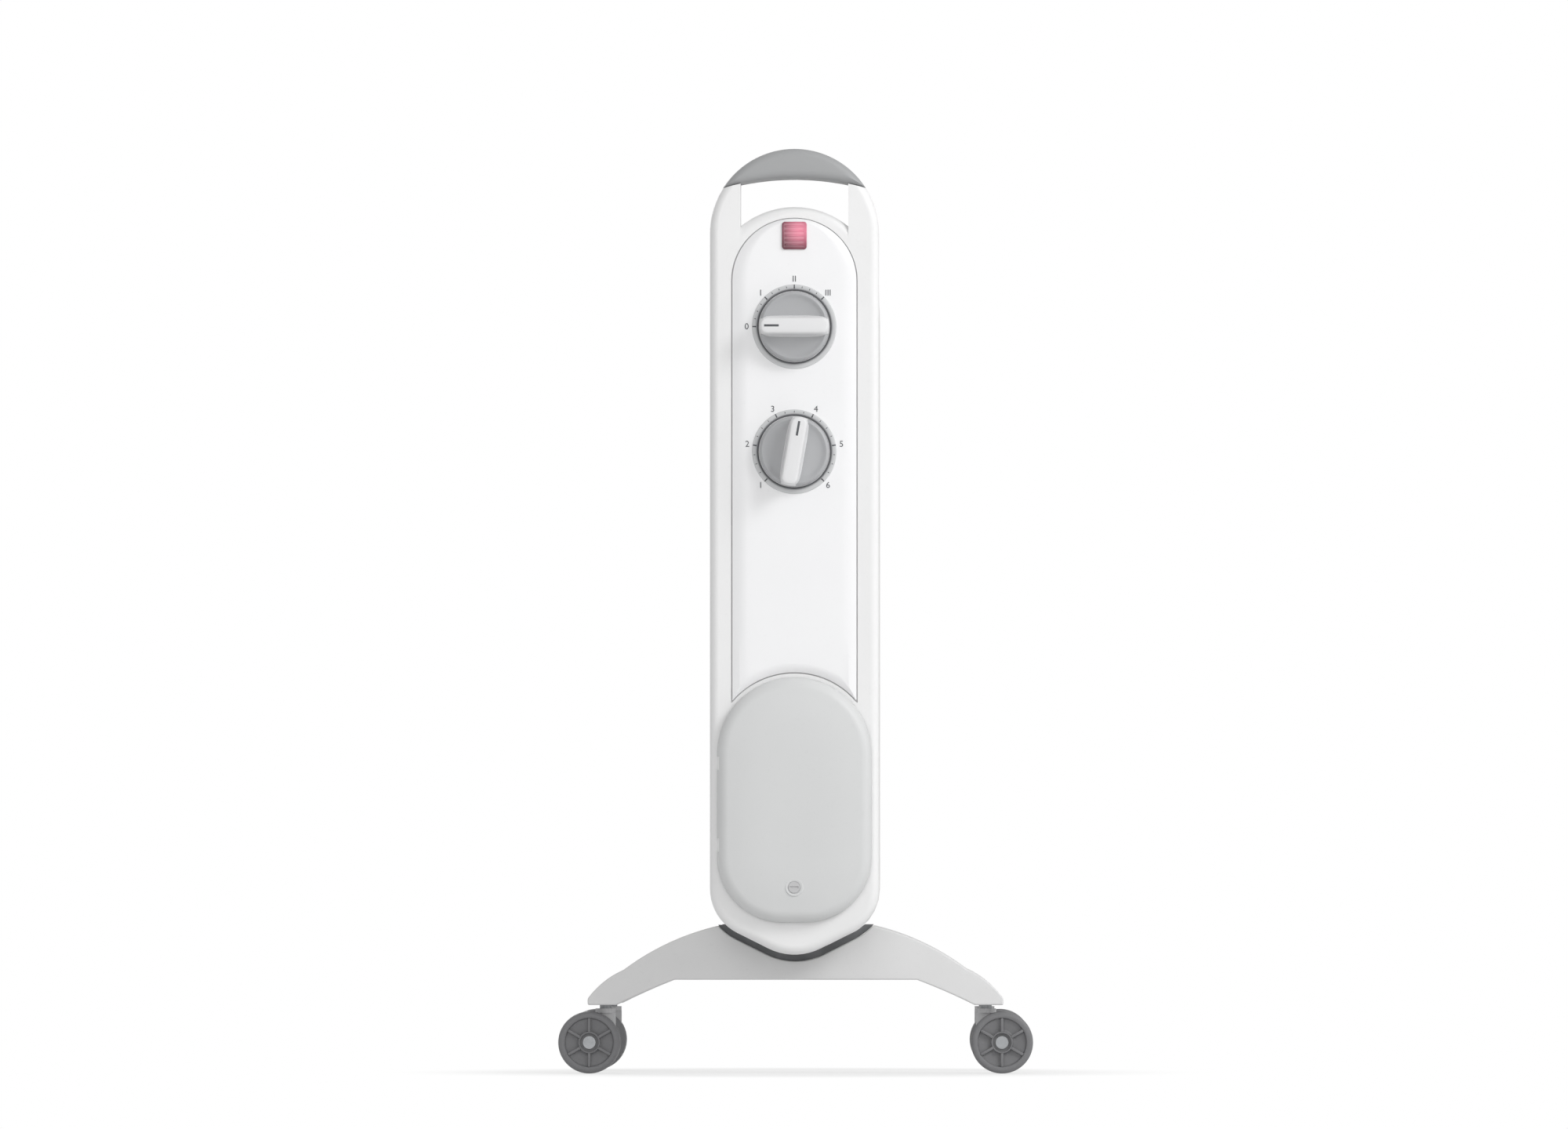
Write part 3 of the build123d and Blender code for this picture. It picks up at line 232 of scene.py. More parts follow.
class Finish:
    """A material in the making. Every node that isn't arithmetic comes from its node method."""

    def __init__(self, name, base, roughness=0.4, metallic=0.0, coat=0.0):
        self.material = bpy.data.materials.new(name)
        self.material.use_nodes = True
        self.tree = self.material.node_tree
        self.shader = self.tree.nodes["Principled BSDF"]
        self.base = (*base, 1.0)
        self.paint(self.base)
        self.feed(self.shader.inputs["Roughness"], roughness)
        self.feed(self.shader.inputs["Metallic"], metallic)
        self.feed(self.shader.inputs["Coat Weight"], coat)
        self.place = self.node("ShaderNodeTexCoord").outputs["Object"]
        self.normal = None

    def node(self, kind, settings=None, sockets=None):
        """A new node, with its settings made first and then its sockets' values or links."""
        made = self.tree.nodes.new(kind)
        for key, value in (settings or {}).items():
            if key == "stops":
                self.stops(made.color_ramp, value)
            else:
                setattr(made, key, value)
        for key, value in (sockets or {}).items():
            self.feed(made.inputs[key], value)
        return made

    def stops(self, ramp, pairs):
        """A colour ramp's stops, from pairs of place and grey level."""
        while len(ramp.elements) < len(pairs):
            ramp.elements.new(1.0)
        for element, (position, level) in zip(ramp.elements, pairs):
            element.position = position
            element.color = (level, level, level, 1.0)

    def feed(self, socket, value):
        """Links a socket to what it is given, or sets it."""
        if isinstance(value, Value):
            value = value.socket
        if isinstance(value, bpy.types.NodeSocket):
            self.tree.links.new(value, socket)
        else:
            socket.default_value = value

    def noise(self, scale, detail=3.0, stretch=ALL_WAYS):
        """Noise over the object's own coordinates; scale is in cells to the metre."""
        place = self.node("ShaderNodeMapping", {}, {"Vector": self.place, "Scale": stretch})
        sockets = {"Vector": place.outputs[0], "Scale": scale, "Detail": detail}
        made = self.node("ShaderNodeTexNoise", {}, sockets)
        return Value(self, made.outputs["Fac"])

    def axes(self):
        """The object's X, Y and Z coordinates as values."""
        split = self.node("ShaderNodeSeparateXYZ", {}, {"Vector": self.place})
        return [Value(self, split.outputs[axis]) for axis in "XYZ"]

    def band(self, value, low, high):
        """0 at low and below, 1 at high and above, smooth between."""
        made = self.node("ShaderNodeMapRange", {"interpolation_type": "SMOOTHSTEP"},
                         {"Value": value, "From Min": low, "From Max": high})
        return Value(self, made.outputs[0])

    def blend(self, mask, under, over):
        """Two colours through a mask."""
        made = self.node("ShaderNodeMix", {"data_type": "RGBA"}, {"Factor": mask})
        self.feed(made.inputs[6], under)
        self.feed(made.inputs[7], over)
        return made.outputs[2]

    def tint(self, mask, factor):
        """Multiplies the base colour by a grey factor where the mask is 1."""
        socket = self.shader.inputs["Base Color"]
        under = socket.links[0].from_socket if socket.links else tuple(socket.default_value)
        shade = self.node("ShaderNodeMix", {"data_type": "RGBA", "blend_type": "MULTIPLY"}, {"Factor": mask})
        self.feed(shade.inputs[6], under)
        self.feed(shade.inputs[7], (factor, factor, factor, 1.0))
        self.paint(shade.outputs[2])

    def paint(self, value):
        """The base colour, or one that varies."""
        self.feed(self.shader.inputs["Base Color"], value)

    def rough(self, value):
        """A roughness that varies."""
        self.feed(self.shader.inputs["Roughness"], value)

    def bump(self, height, distance):
        """Relief of the given depth in metres, added to what is there."""
        sockets = {"Height": height, "Distance": distance, "Strength": 1.0}
        if self.normal is not None:
            sockets["Normal"] = self.normal
        self.normal = self.node("ShaderNodeBump", {}, sockets).outputs[0]
        self.feed(self.shader.inputs["Normal"], self.normal)


def moulded(name, base, grain=2600.0, depth=0.00003, roughness=0.46, soil=0.06):
    """Moulded plastic: fine spark-eroded grain, uneven sheen and a little handling soil."""
    finish = Finish(name, base, roughness)
    pits = finish.noise(grain, 2.0)
    broad = finish.noise(9.0, 4.0)
    smear = finish.noise(38.0, 5.0)
    finish.tint(finish.band(broad, 0.42, 0.72) * soil, 0.72)
    finish.tint(finish.band(finish.noise(420.0, 1.0), 0.66, 0.74) * (soil * 0.6), 0.62)
    finish.rough(roughness + (smear - 0.5) * 0.16)
    finish.bump(pits, depth)
    finish.bump(broad, 0.0002)
    return finish.material


def enamelled(name, base):
    """Baked enamel over pressed steel: orange peel, a soft gloss, and random darker blotches that grow
    stronger towards the bottom.
    """
    finish = Finish(name, base, 0.28, 0.0, 0.25)
    finish.feed(finish.shader.inputs["Coat Roughness"], 0.12)
    peel = finish.noise(420.0, 2.0)
    wave = finish.noise(26.0, 2.0)
    blotches = finish.noise(60.0, 6.0)
    height = finish.axes()[2]
    # Darker towards the bottom, in random blotches.
    low = 1.0 - finish.band(height, 0.08, 0.22)
    finish.tint(finish.band(blotches, 0.45, 0.7) * (0.05 + low * 0.16), 0.7)
    finish.rough(0.27 + blotches * 0.1 + low * 0.06)
    finish.bump(peel, 0.00004)
    finish.bump(wave, 0.00035)
    return finish.material


def metal(name, base, roughness, stretch):
    """Drawn or rolled metal: streaks along one way, stain and small scratches."""
    finish = Finish(name, base, roughness, 1.0)
    streak = finish.noise(900.0, 3.0, stretch)
    stain = finish.noise(70.0, 5.0)
    finish.tint(finish.band(stain, 0.45, 0.75) * 0.5, 0.72)
    finish.rough(roughness + (streak - 0.5) * 0.25 + stain * 0.08)
    finish.bump(streak, 0.00002)
    return finish.material


def rubber(name, base):
    """Matt rubber with a pale bloom and a fine pitted skin."""
    finish = Finish(name, base, 0.78)
    bloom = finish.noise(55.0, 5.0)
    pits = finish.noise(1800.0, 2.0)
    pale = tuple(min(1.0, c * 1.5 + 0.02) for c in base)
    finish.paint(finish.blend(finish.band(bloom, 0.4, 0.75) * 0.6, finish.base, (*pale, 1.0)))
    finish.rough(0.7 + bloom * 0.2)
    finish.bump(pits, 0.00005)
    return finish.material


def soft_sheath(name, base):
    """Glossy wire insulation with a faint draw line."""
    finish = Finish(name, base, 0.38)
    line = finish.noise(500.0, 2.0, ALONG_Z)
    finish.tint(finish.band(line, 0.5, 0.7) * 0.3, 0.75)
    finish.rough(0.32 + line * 0.14)
    finish.bump(line, 0.00003)
    return finish.material


def lens(name, base):
    """Tinted lamp lens, brighter towards its upper right and darker towards its lower left: the lit lamp's
    glow together with a painted highlight and painted shade.
    """
    middle = middle_of("lamp_lens")
    highlight_offset, glow_and_highlight_reach = 3.5 * MM, 16 * MM
    finish = Finish(name, base, 0.18, 0.0, 0.4)
    x, _, z = finish.axes()
    # Painted highlight: the brightest point sits up and to the right of the lens's middle, towards the key
    # lamp.
    highlight_x, highlight_z = middle.x + highlight_offset, middle.z + highlight_offset
    away = ((x - highlight_x) ** 2.0 + (z - highlight_z) ** 2.0) ** 0.5
    glow_and_highlight = 1.0 - finish.band(away, 0.0, glow_and_highlight_reach)
    glow_and_highlight_colour = tuple(min(1.0, c * 1.15 + 0.10) for c in base)
    # Painted shade: the lens darkens away from that point, most at its lower left.
    painted_shade_colour = tuple(c * 0.2 for c in base)
    shade = finish.blend(glow_and_highlight, (*painted_shade_colour, 1.0), (*glow_and_highlight_colour, 1.0))
    finish.paint(shade)
    finish.feed(finish.shader.inputs["Emission Color"], shade)
    finish.feed(finish.shader.inputs["Emission Strength"], 0.14)
    finish.bump(finish.noise(900.0, 2.0), 0.00003)
    return finish.material


def dial_ring(name, base, painted_shade_colour):
    """A dial's moulded ring: light outside, with a painted shade at its inner border for the shadow in the
    gap where the knob's skirt runs.
    """
    low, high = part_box(f"{name}_dial")
    inner = (high.x - low.x) / 2 - DIAL_WIDTH
    middle_z = middle_of(f"{name}_dial").z
    finish = Finish(f"{name}_ring", base, 0.48)
    x, _, z = finish.axes()
    away = (x ** 2.0 + (z - middle_z) ** 2.0) ** 0.5
    # Painted shade: dark at the inner border, light further out.
    light = finish.band(away, inner + 0.6 * MM, inner + 2.0 * MM)
    grain = finish.noise(2600.0, 2.0)
    finish.paint(finish.blend(light, (*painted_shade_colour, 1.0), finish.base))
    finish.tint(finish.band(grain, 0.6, 0.75) * 0.1, 0.8)
    finish.rough(0.44 + grain * 0.1)
    finish.bump(grain, 0.00003)
    return finish.material


def printed(name, base):
    """Pad-printed ink with a slightly broken edge and sheen."""
    finish = Finish(name, base, 0.5)
    grain = finish.noise(3000.0, 2.0)
    finish.tint(finish.band(grain, 0.5, 0.7) * 0.25, 0.7)
    finish.rough(0.45 + grain * 0.15)
    return finish.material


def deselect():
    """Nothing selected, so that an operator acts on new geometry alone."""
    bpy.ops.object.select_all(action="DESELECT")


def choose(*pieces):
    """These pieces selected, the first one active."""
    deselect()
    for piece in pieces:
        piece.select_set(True)
    bpy.context.view_layer.objects.active = pieces[0]


def rounded(corners, inset=0.0, steps=12):
    """Points of an anticlockwise outline of straight edges and arcs, moved inwards by inset.
    A corner is x, z and its radius."""
    places = [Vector((x, z)) for x, z, _ in corners]
    points = []
    for i, (_, _, radius) in enumerate(corners):
        after = places[(i + 1) % len(places)]
        into = (places[i] - places[i - 1]).normalized()
        out = (after - places[i]).normalized()
        turn = atan2(into.x * out.y - into.y * out.x, into.dot(out))
        side_in = Vector((-into.y, into.x))
        side_out = Vector((-out.y, out.x))
        corner = places[i] + (side_in + side_out) * (inset / (1 + into.dot(out)))
        hand = 1 if turn > 0 else -1
        bend = max(radius - hand * inset, 0.02 * MM)
        start = corner - into * (bend * tan(abs(turn) / 2))
        centre = start + side_in * (hand * bend)
        for step in range(steps):
            turned = Matrix.Rotation(turn * step / (steps - 1), 2) @ (start - centre)
            points.append(centre + turned)
    return points


def evenly(points, count):
    """A closed outline taken again as count evenly spaced points, from its lowest one on the centre line."""
    closed = list(points) + [points[0]]
    crossings = []
    for i, (a, b) in enumerate(zip(closed, closed[1:])):
        if (a.x <= 0) != (b.x <= 0):
            share = a.x / (a.x - b.x)
            crossings.append((a.y + (b.y - a.y) * share, i, share))
    _, first, share = min(crossings)
    start = closed[first].lerp(closed[first + 1], share)
    path = [start, *closed[first + 1:-1], *closed[:first + 1], start]
    spans = [(b - a).length for a, b in zip(path, path[1:])]
    pitch = sum(spans) / count
    found = []
    i = 0
    passed = 0.0
    for step in range(count):
        wanted = step * pitch
        while passed + spans[i] < wanted:
            passed += spans[i]
            i += 1
        found.append(path[i].lerp(path[i + 1], (wanted - passed) / spans[i] if spans[i] else 0.0))
    return found


def ring(outline, y):
    """An outline stood up at one place along Y."""
    return [Vector((point.x, y, point.y)) for point in outline]


def circle(radius, y, count, centre=(0.0, 0.0), waves=0, depth=0.0):
    """A ring round a line along Y, with as many shallow scallops as waves says."""
    points = []
    for i in range(count):
        angle = TAU * i / count
        reach = radius - depth * (0.5 - 0.5 * cos(waves * angle))
        points.append(Vector((centre[0] + reach * sin(angle), y, centre[1] + reach * cos(angle))))
    return points


def loft(name, rings, capped=True):
    """A skin over rings of as many points each. The first is a circle laid on its places; each next one is
    extruded from the last. Without caps, the last ring is merged with the first."""
    deselect()
    bpy.ops.mesh.primitive_circle_add(vertices=len(rings[0]), radius=1.0, fill_type="NOTHING")
    piece = bpy.context.object
    piece.name = piece.data.name = name
    for vertex, place in zip(piece.data.vertices, rings[0]):
        vertex.co = place
    bpy.ops.object.mode_set(mode="EDIT")
    bpy.ops.mesh.select_mode(type="VERT")
    bpy.ops.mesh.select_all(action="SELECT")
    last = list(range(len(rings[0])))
    ends = [last]
    for places in rings[1:] + ([] if capped else rings[:1]):
        bpy.ops.mesh.extrude_edges_move()
        mesh = bmesh.from_edit_mesh(piece.data)
        mesh.verts.ensure_lookup_table()
        mesh.verts.index_update()
        old = set(last)
        following = []
        for index in last:
            vertex = mesh.verts[index]
            linked = [edge.other_vert(vertex) for edge in vertex.link_edges]
            following.append(next(v.index for v in linked if v.select and v.index not in old))
        for index, place in zip(following, places):
            mesh.verts[index].co = place
        last = following
    ends.append(last)
    if capped:
        for end in ends:
            bpy.ops.mesh.select_all(action="DESELECT")
            mesh = bmesh.from_edit_mesh(piece.data)
            mesh.verts.ensure_lookup_table()
            for index in end:
                mesh.verts[index].select_set(True)
            mesh.select_flush(True)
            bpy.ops.mesh.edge_face_add()
    bpy.ops.mesh.select_all(action="SELECT")
    bpy.ops.mesh.remove_doubles(threshold=0.000002)
    bpy.ops.mesh.normals_make_consistent(inside=False)
    bpy.ops.object.mode_set(mode="OBJECT")
    return piece


def bar(name, middle, size, bevel, segments=2):
    """A bar with rounded edges, from a cube that is bevelled in edit mode."""
    deselect()
    bpy.ops.mesh.primitive_cube_add(size=1.0, location=middle, scale=size)
    piece = bpy.context.object
    piece.name = piece.data.name = name
    bpy.ops.object.transform_apply(location=True, rotation=True, scale=True)
    bpy.ops.object.mode_set(mode="EDIT")
    bpy.ops.mesh.select_all(action="SELECT")
    bpy.ops.mesh.bevel(offset=bevel, segments=segments, affect="EDGES")
    bpy.ops.object.mode_set(mode="OBJECT")
    return piece


def copied(piece, name, matrix):
    """A copy with a mesh of its own, moved by a matrix; a mirrored one is turned right side out."""
    twin = bpy.data.objects.new(name, piece.data.copy())
    bpy.context.scene.collection.objects.link(twin)
    twin.data.name = name
    twin.data.transform(matrix)
    if matrix.determinant() < 0:
        twin.data.flip_normals()
    return twin


def joined(name, pieces):
    """One piece from several."""
    choose(*pieces)
    if len(pieces) > 1:
        bpy.ops.object.join()
    whole = bpy.context.object
    whole.name = whole.data.name = name
    return whole


def apply(piece, kind, **settings):
    """A modifier with its settings, applied."""
    choose(piece)
    modifier = piece.modifiers.new(kind.title(), kind)
    for key, value in settings.items():
        setattr(modifier, key, value)
    bpy.ops.object.modifier_apply(modifier=modifier.name)
    return piece


def cut(piece, cutters):
    """Takes the cutters' space out of a piece, and removes them."""
    for cutter in cutters:
        apply(piece, "BOOLEAN", operation="DIFFERENCE", solver="EXACT", object=cutter)
        bpy.data.objects.remove(cutter)
    return piece


def placed(piece, body, material, nodes=(), firm=False):
    """Gives a finished piece its material, its shading and its body, and hides the nodes it stands for.
    A firm one keeps its flat faces flat in the light beside their rounded edges."""
    choose(piece)
    piece.data.materials.clear()
    piece.data.materials.append(material)
    bpy.ops.object.transform_apply(location=True, rotation=True, scale=True)
    bpy.ops.object.shade_smooth_by_angle(angle=SMOOTH_ANGLE)
    if firm:
        apply(piece, "WEIGHTED_NORMAL", keep_sharp=True)
    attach(piece, body)
    if nodes:
        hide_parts(*nodes)
    return piece


def eased(node, name, radius, segments=2, clamp=True, least=0.01 * MM):
    """A copy of a node's mesh with its sharp edges rounded. Corners nearer than least are joined first.
    The clamp keeps the rounding from running over short edges, which can make it very small."""
    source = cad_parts[node]
    piece = bpy.data.objects.new(name, source.data.copy())
    bpy.context.scene.collection.objects.link(piece)
    choose(piece)
    bpy.ops.object.mode_set(mode="EDIT")
    bpy.ops.mesh.select_all(action="SELECT")
    bpy.ops.mesh.remove_doubles(threshold=least)
    bpy.ops.mesh.dissolve_limited(angle_limit=radians(1.0))
    bpy.ops.object.mode_set(mode="OBJECT")
    apply(piece, "BEVEL", width=radius, segments=segments, limit_method="ANGLE", angle_limit=ROUND_ANGLE,
          use_clamp_overlap=clamp, harden_normals=False)
    return piece


def dress(material, *names):
    """Gives nodes of the frame a finish, with their shape as it is."""
    for name in names:
        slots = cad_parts[name].data.materials
        if not slots:
            slots.append(material)
        for i in range(len(slots)):
            slots[i] = material


def upright(half, low, high, low_bend, high_bend):
    """The four corners of an upright outline about the centre line, with the lower and the upper radius."""
    return [(-half, low, low_bend), (half, low, low_bend), (half, high, high_bend), (-half, high, high_bend)]


def body_outline(inset):
    """The fin's outer edge: round top, straight flanks, rounded keel."""
    w = BODY_HALF
    side_z = KEEL_Z + w * tan(KEEL_SLOPE)
    corners = [(0, KEEL_Z, KEEL_RADIUS), (w, side_z, BILGE_RADIUS), (w, FIN_HIGH.z, w), (-w, FIN_HIGH.z, w),
               (-w, side_z, BILGE_RADIUS)]
    return evenly(rounded(corners, inset), FIN_POINTS)


def oil_outline(inset):
    """The outer edge of a fin's pressed oil space."""
    corners = upright(OIL_HALF, OIL_LOW, OIL_HIGH, OIL_BEND, OIL_HALF)
    return evenly(rounded(corners, inset), FIN_POINTS)


def web_outline(spread):
    """The edge of the flat stretch between a fin's two oil columns."""
    corners = upright(WEB_HALF, WEB_LOW, WEB_HIGH, WEB_BEND, WEB_BEND)
    return evenly(rounded(corners, -spread), FIN_POINTS)


def fin_rings():
    """Rings of one fin from the middle of its back to the middle of its front, about Y = 0.
    Each step is how far it lies from its outline and how far from the fin's middle plane, in millimetres."""
    web = [(0.3, 0.85), (1.6, 1.5), (3.6, 5.0), (5.2, 8.6), (6.7, 10.4), (8.6, 11.0)]
    oil = [(8.8, 11.0), (6.9, 10.3), (5.2, 8.4), (2.6, 4.2), (0.9, 1.6), (-0.6, 0.9)]
    hem = [(4.0, 0.8), (2.7, 0.8), (2.4, 1.5), (1.8, 2.1), (1.0, 2.2), (0.3, 1.8), (0.0, 0.9)]
    half = []
    for outline, steps in ((web_outline, web), (oil_outline, oil), (body_outline, hem)):
        half += [(outline(reach * MM), y * MM) for reach, y in steps]
    return [ring(points, y) for points, y in half] + [ring(points, -y) for points, y in reversed(half)]


def weld_spot(x, z, side):
    """A shallow spot weld on one face of a fin."""
    flange = 0.8 * MM
    profile = [(2.5, -0.3), (2.4, 0.02), (2.0, 0.22), (1.3, 0.10), (0.5, 0.04)]
    rings = [circle(r * MM, side * (flange + y * MM), 14, (x, z)) for r, y in profile]
    return loft("weld_spot", rings)


def build_fins(material):
    """One pressed fin with its welds, and copies of it at the others' places."""
    rows = [(0, WEB_LOW, WEB_HIGH), (-WELD_ROW_X, WELD_ROW_LOW, WELD_ROW_HIGH),
            (WELD_ROW_X, WELD_ROW_LOW, WELD_ROW_HIGH)]
    count = sizes().weld_spots
    spots = []
    for side in (-1, 1):
        for i in range(count):
            for x, low, high in rows:
                spots.append(weld_spot(x, low + (high - low) * (i + 0.5) / count, side))
    first = joined("pressed_fin", [loft("pressed_fin", fin_rings()), *spots])
    second_y = middle_of("fin_2").y
    pitch = middle_of("fin_3").y - second_y
    for i in range(FIN_COUNT):
        place = Matrix.Translation((0, second_y + (i - 1) * pitch, 0))
        fin = copied(first, f"pressed_fin_{i + 1}", place)
        placed(fin, "radiator", material, [f"fin_{i + 1}"])
    bpy.data.objects.remove(first)


def panel_outline(inset):
    """The front panel's edge: round top, straight sides and an arch over the cover, at an inset that is
    taken in full at the sides and in part on the top and over the arch."""
    side_steps, top_steps, arch_steps = 8, 48, 30
    top_share = 0.2
    arch_share = 0.6
    arch_gap = 3 * MM
    crown_z = PANEL_HIGH.z - PANEL_HALF
    arch_z = COVER_HIGH.z - COVER_HALF
    side_x = PANEL_HALF - inset
    arch = COVER_HALF + arch_gap + arch_share * inset
    foot_z = arch_z + sqrt(arch ** 2 - side_x ** 2)
    rise = crown_z - foot_z
    points = [Vector((side_x, foot_z + rise * i / side_steps)) for i in range(side_steps)]
    for i in range(top_steps + 1):
        angle = pi * i / top_steps
        reach = PANEL_HALF - inset * (top_share + (1 - top_share) * cos(angle) ** 2)
        points.append(Vector((reach * cos(angle), crown_z + reach * sin(angle))))
    points += [Vector((-side_x, crown_z - rise * i / side_steps)) for i in range(1, side_steps + 1)]
    half = atan2(side_x, foot_z - arch_z)
    for i in range(1, arch_steps):
        angle = -half + 2 * half * i / arch_steps
        points.append(Vector((arch * sin(angle), arch_z + arch * cos(angle))))
    return points


def build_panel(material):
    """The front panel, with a wide soft border that falls away to its joint."""
    width, drop, joint = sizes().panel_bevel, sizes().panel_drop, sizes().panel_joint
    chamfer, chamfer_depth = 0.25 * MM, 0.35 * MM
    steps = 10
    edge = panel_outline(joint)
    rings = [ring(edge, PANEL_HIGH.y), ring(edge, PANEL_FACE_Y + drop + chamfer_depth)]
    for i in range(steps + 1):
        share = i / steps
        fall = drop * (1 - sin(share * pi / 2))
        rings.append(ring(panel_outline(joint + chamfer + width * share), PANEL_FACE_Y + fall))
    placed(loft("front_panel_moulding", rings), "radiator", material, ["front_panel"])


def build_lamp(material):
    """The lamp's crowned lens with its moulded ribs."""
    low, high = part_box("lamp_lens")
    half = (high.x - low.x) / 2
    bend = 2 * MM
    rib_count = 5
    rib_end, rib_depth, rib_height, rib_round = 1.8 * MM, 0.9 * MM, 1.5 * MM, 0.4 * MM
    corners = upright(half, low.z, high.z, bend, bend)
    profile = [(0.0, 1.95), (0.0, 1.25), (0.15, 0.87), (0.5, 0.59), (1.1, 0.45), (2.6, 0.37), (5.0, 0.33)]
    rings = [ring(rounded(corners, inset * MM), low.y + y * MM) for inset, y in profile]
    shell = loft("lamp_lens_cap", rings)
    rib_size = (2 * (half - rib_end), rib_depth, rib_height)
    ribs = []
    for i in range(rib_count):
        z = low.z + (high.z - low.z) * (i + 1) / (rib_count + 1)
        ribs.append(bar("lamp_rib", (0, low.y + rib_depth / 2, z), rib_size, rib_round))
    placed(joined("lamp_lens_cap", [shell, *ribs]), "radiator", material, ["lamp_lens"])


def build_dial(name, material, ink, figures):
    """The ring round a knob, with its marks and numerals; figures pairs each text with its angle."""
    centre = (0.0, middle_of(f"{name}_dial").z)
    low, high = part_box(f"{name}_dial")
    outer = (high.x - low.x) / 2
    inner = outer - DIAL_WIDTH
    face = low.y
    foot = PANEL_FACE_Y + 0.4 * MM
    inner_edge = [(0.0, 0.75), (0.35, 0.45)]
    outer_edge = [(1.6, 0.05), (0.8, 0.0), (0.25, 0.25), (0.0, 0.8)]
    profile = [(inner, foot)]
    profile += [(inner + x * MM, face + y * MM) for x, y in inner_edge]
    profile += [(outer - x * MM, face + y * MM) for x, y in outer_edge]
    profile.append((outer, foot))
    rings = [circle(radius, y, 96, centre) for radius, y in profile]
    placed(loft(f"{name}_bezel", rings, capped=False), "radiator", material, [f"{name}_dial"])
    figure_reach = outer + 3.7 * MM
    mark_reach = outer - 1.5 * MM
    mark_y = face - 0.2 * sizes().print_depth
    long_mark = (0.9 * MM, sizes().tick)
    short_mark = (0.5 * MM, 0.5 * sizes().tick)
    spaces = 4
    marks = []
    for text, angle in figures:
        marks.append(numeral(text, centre, figure_reach, angle))
        marks.append(mark(centre, mark_reach, angle, long_mark, mark_y))
    angles = [angle for _, angle in figures]
    for a, b in zip(angles, angles[1:]):
        for part in range(1, spaces):
            marks.append(mark(centre, mark_reach, a + (b - a) * part / spaces, short_mark, mark_y))
    placed(joined(f"{name}_marks", marks), "radiator", ink)


def about(centre, angle):
    """A turn clockwise, as the front shows it, about a line along Y."""
    place = Vector((centre[0], 0, centre[1]))
    return Matrix.Translation(place) @ Matrix.Rotation(radians(angle), 4, "Y") @ Matrix.Translation(-place)


def mark(centre, reach, angle, size, face_y):
    """A printed line that points at a knob's middle, with its width and length as its size."""
    width, reach_up = size
    depth = 2 * sizes().print_depth
    middle = (centre[0], face_y + depth / 2, centre[1] + reach)
    line = bar("mark", middle, (width, depth, reach_up), 0.3 * depth, 1)
    line.data.transform(about(centre, angle))
    return line


def numeral(text, centre, reach, angle):
    """A printed numeral beside a knob, upright."""
    size_to_height = 1.35
    turned = radians(angle)
    place = (centre[0] + reach * sin(turned), PANEL_FACE_Y, centre[1] + reach * cos(turned))
    deselect()
    bpy.ops.object.text_add(location=(0, 0, 0))
    piece = bpy.context.object
    piece.data.body = text
    piece.data.align_x = "CENTER"
    piece.data.align_y = "CENTER"
    piece.data.size = size_to_height * sizes().figure
    piece.data.extrude = sizes().print_depth
    piece.data.resolution_u = 4
    bpy.ops.object.convert(target="MESH")
    piece = bpy.context.object
    piece.data.transform(Matrix.Translation(place) @ Matrix.Rotation(pi / 2, 4, "X"))
    return piece


def build_knob(name, body, turn, material, grip_material, ink):
    """A knob: scalloped skirt, dished face and a waisted bar grip with its pointer line.
    The outlines' steps are an inset and a place in front of the knob's back, in millimetres."""
    centre = (0.0, middle_of(f"{name}_dial").z)
    low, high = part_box(f"{name}_knob")
    front_y, back_y = low.y, high.y
    scallops, scallop_depth = 36, 0.5 * MM
    skirt = [(0.5, 0.0, 0), (0.0, 0.6, 0), (0.0, 1.2, scallops), (0.0, 5.4, scallops), (0.25, 6.4, 0),
             (0.9, 7.4, 0), (1.9, 7.9, 0), (2.6, 7.8, 0), (3.6, 7.1, 0), (6.0, 6.5, 0), (12.0, 6.2, 0)]
    rings = [circle(KNOB_RADIUS - inset * MM, back_y - y * MM, 216, centre, waves, scallop_depth)
             for inset, y, waves in skirt]
    disc = loft(f"{name}_cap", rings)
    rise = [(-1.4, 6.0), (-0.9, 6.6), (-0.35, 7.6), (-0.1, 9.5), (0.15, 14.0), (0.45, 18.4), (0.9, 19.7),
            (1.6, 20.45), (2.6, 20.7), (3.9, 20.8)]
    half, end, bend = 6.6 * MM, KNOB_RADIUS, 6.0 * MM
    waist_share = 0.16
    reach_limit = KNOB_RADIUS - 0.1 * MM
    rings = []
    for inset, y in rise:
        points = []
        for point in rounded(upright(half, -end, end, bend, bend), inset * MM, 9):
            waist = 1 - waist_share * (1 - (point.y / end) ** 2)
            reach = min(1.0, reach_limit / hypot(point.x, point.y))
            points.append(Vector((point.x * waist * reach, back_y - y * MM, centre[1] + point.y * reach)))
        rings.append(points)
    grip = loft(f"{name}_grip", rings)
    pointer_middle = (0, front_y + 0.25 * MM, centre[1] + 15.5 * MM)
    pointer = bar(f"{name}_pointer", pointer_middle, (1.5 * MM, 0.4 * MM, 10 * MM), 0.1 * MM)
    for piece in (disc, grip, pointer):
        piece.data.transform(about(centre, turn))
    placed(disc, body, material, [f"{name}_knob"])
    placed(grip, body, grip_material)
    placed(pointer, body, ink)


def cover_outline(inset):
    """The cover's edge: round top, wide-rounded bottom corners."""
    return rounded(upright(COVER_HALF, COVER_LOW.z, COVER_HIGH.z, COVER_BEND, COVER_HALF), inset, 22)


def cover_profile(inset, wall):
    """How far back the cover's face is at an inset: its outer face or, with a wall, its inner one."""
    bend, crown = sizes().cover_round, sizes().cover_crown
    if inset < bend:
        return crown + bend - sqrt(bend ** 2 - (bend - inset) ** 2) + wall
    share = min(1.0, (inset - bend) / (COVER_CROWN_REACH - bend))
    return crown * (1 - share) ** 2 + wall


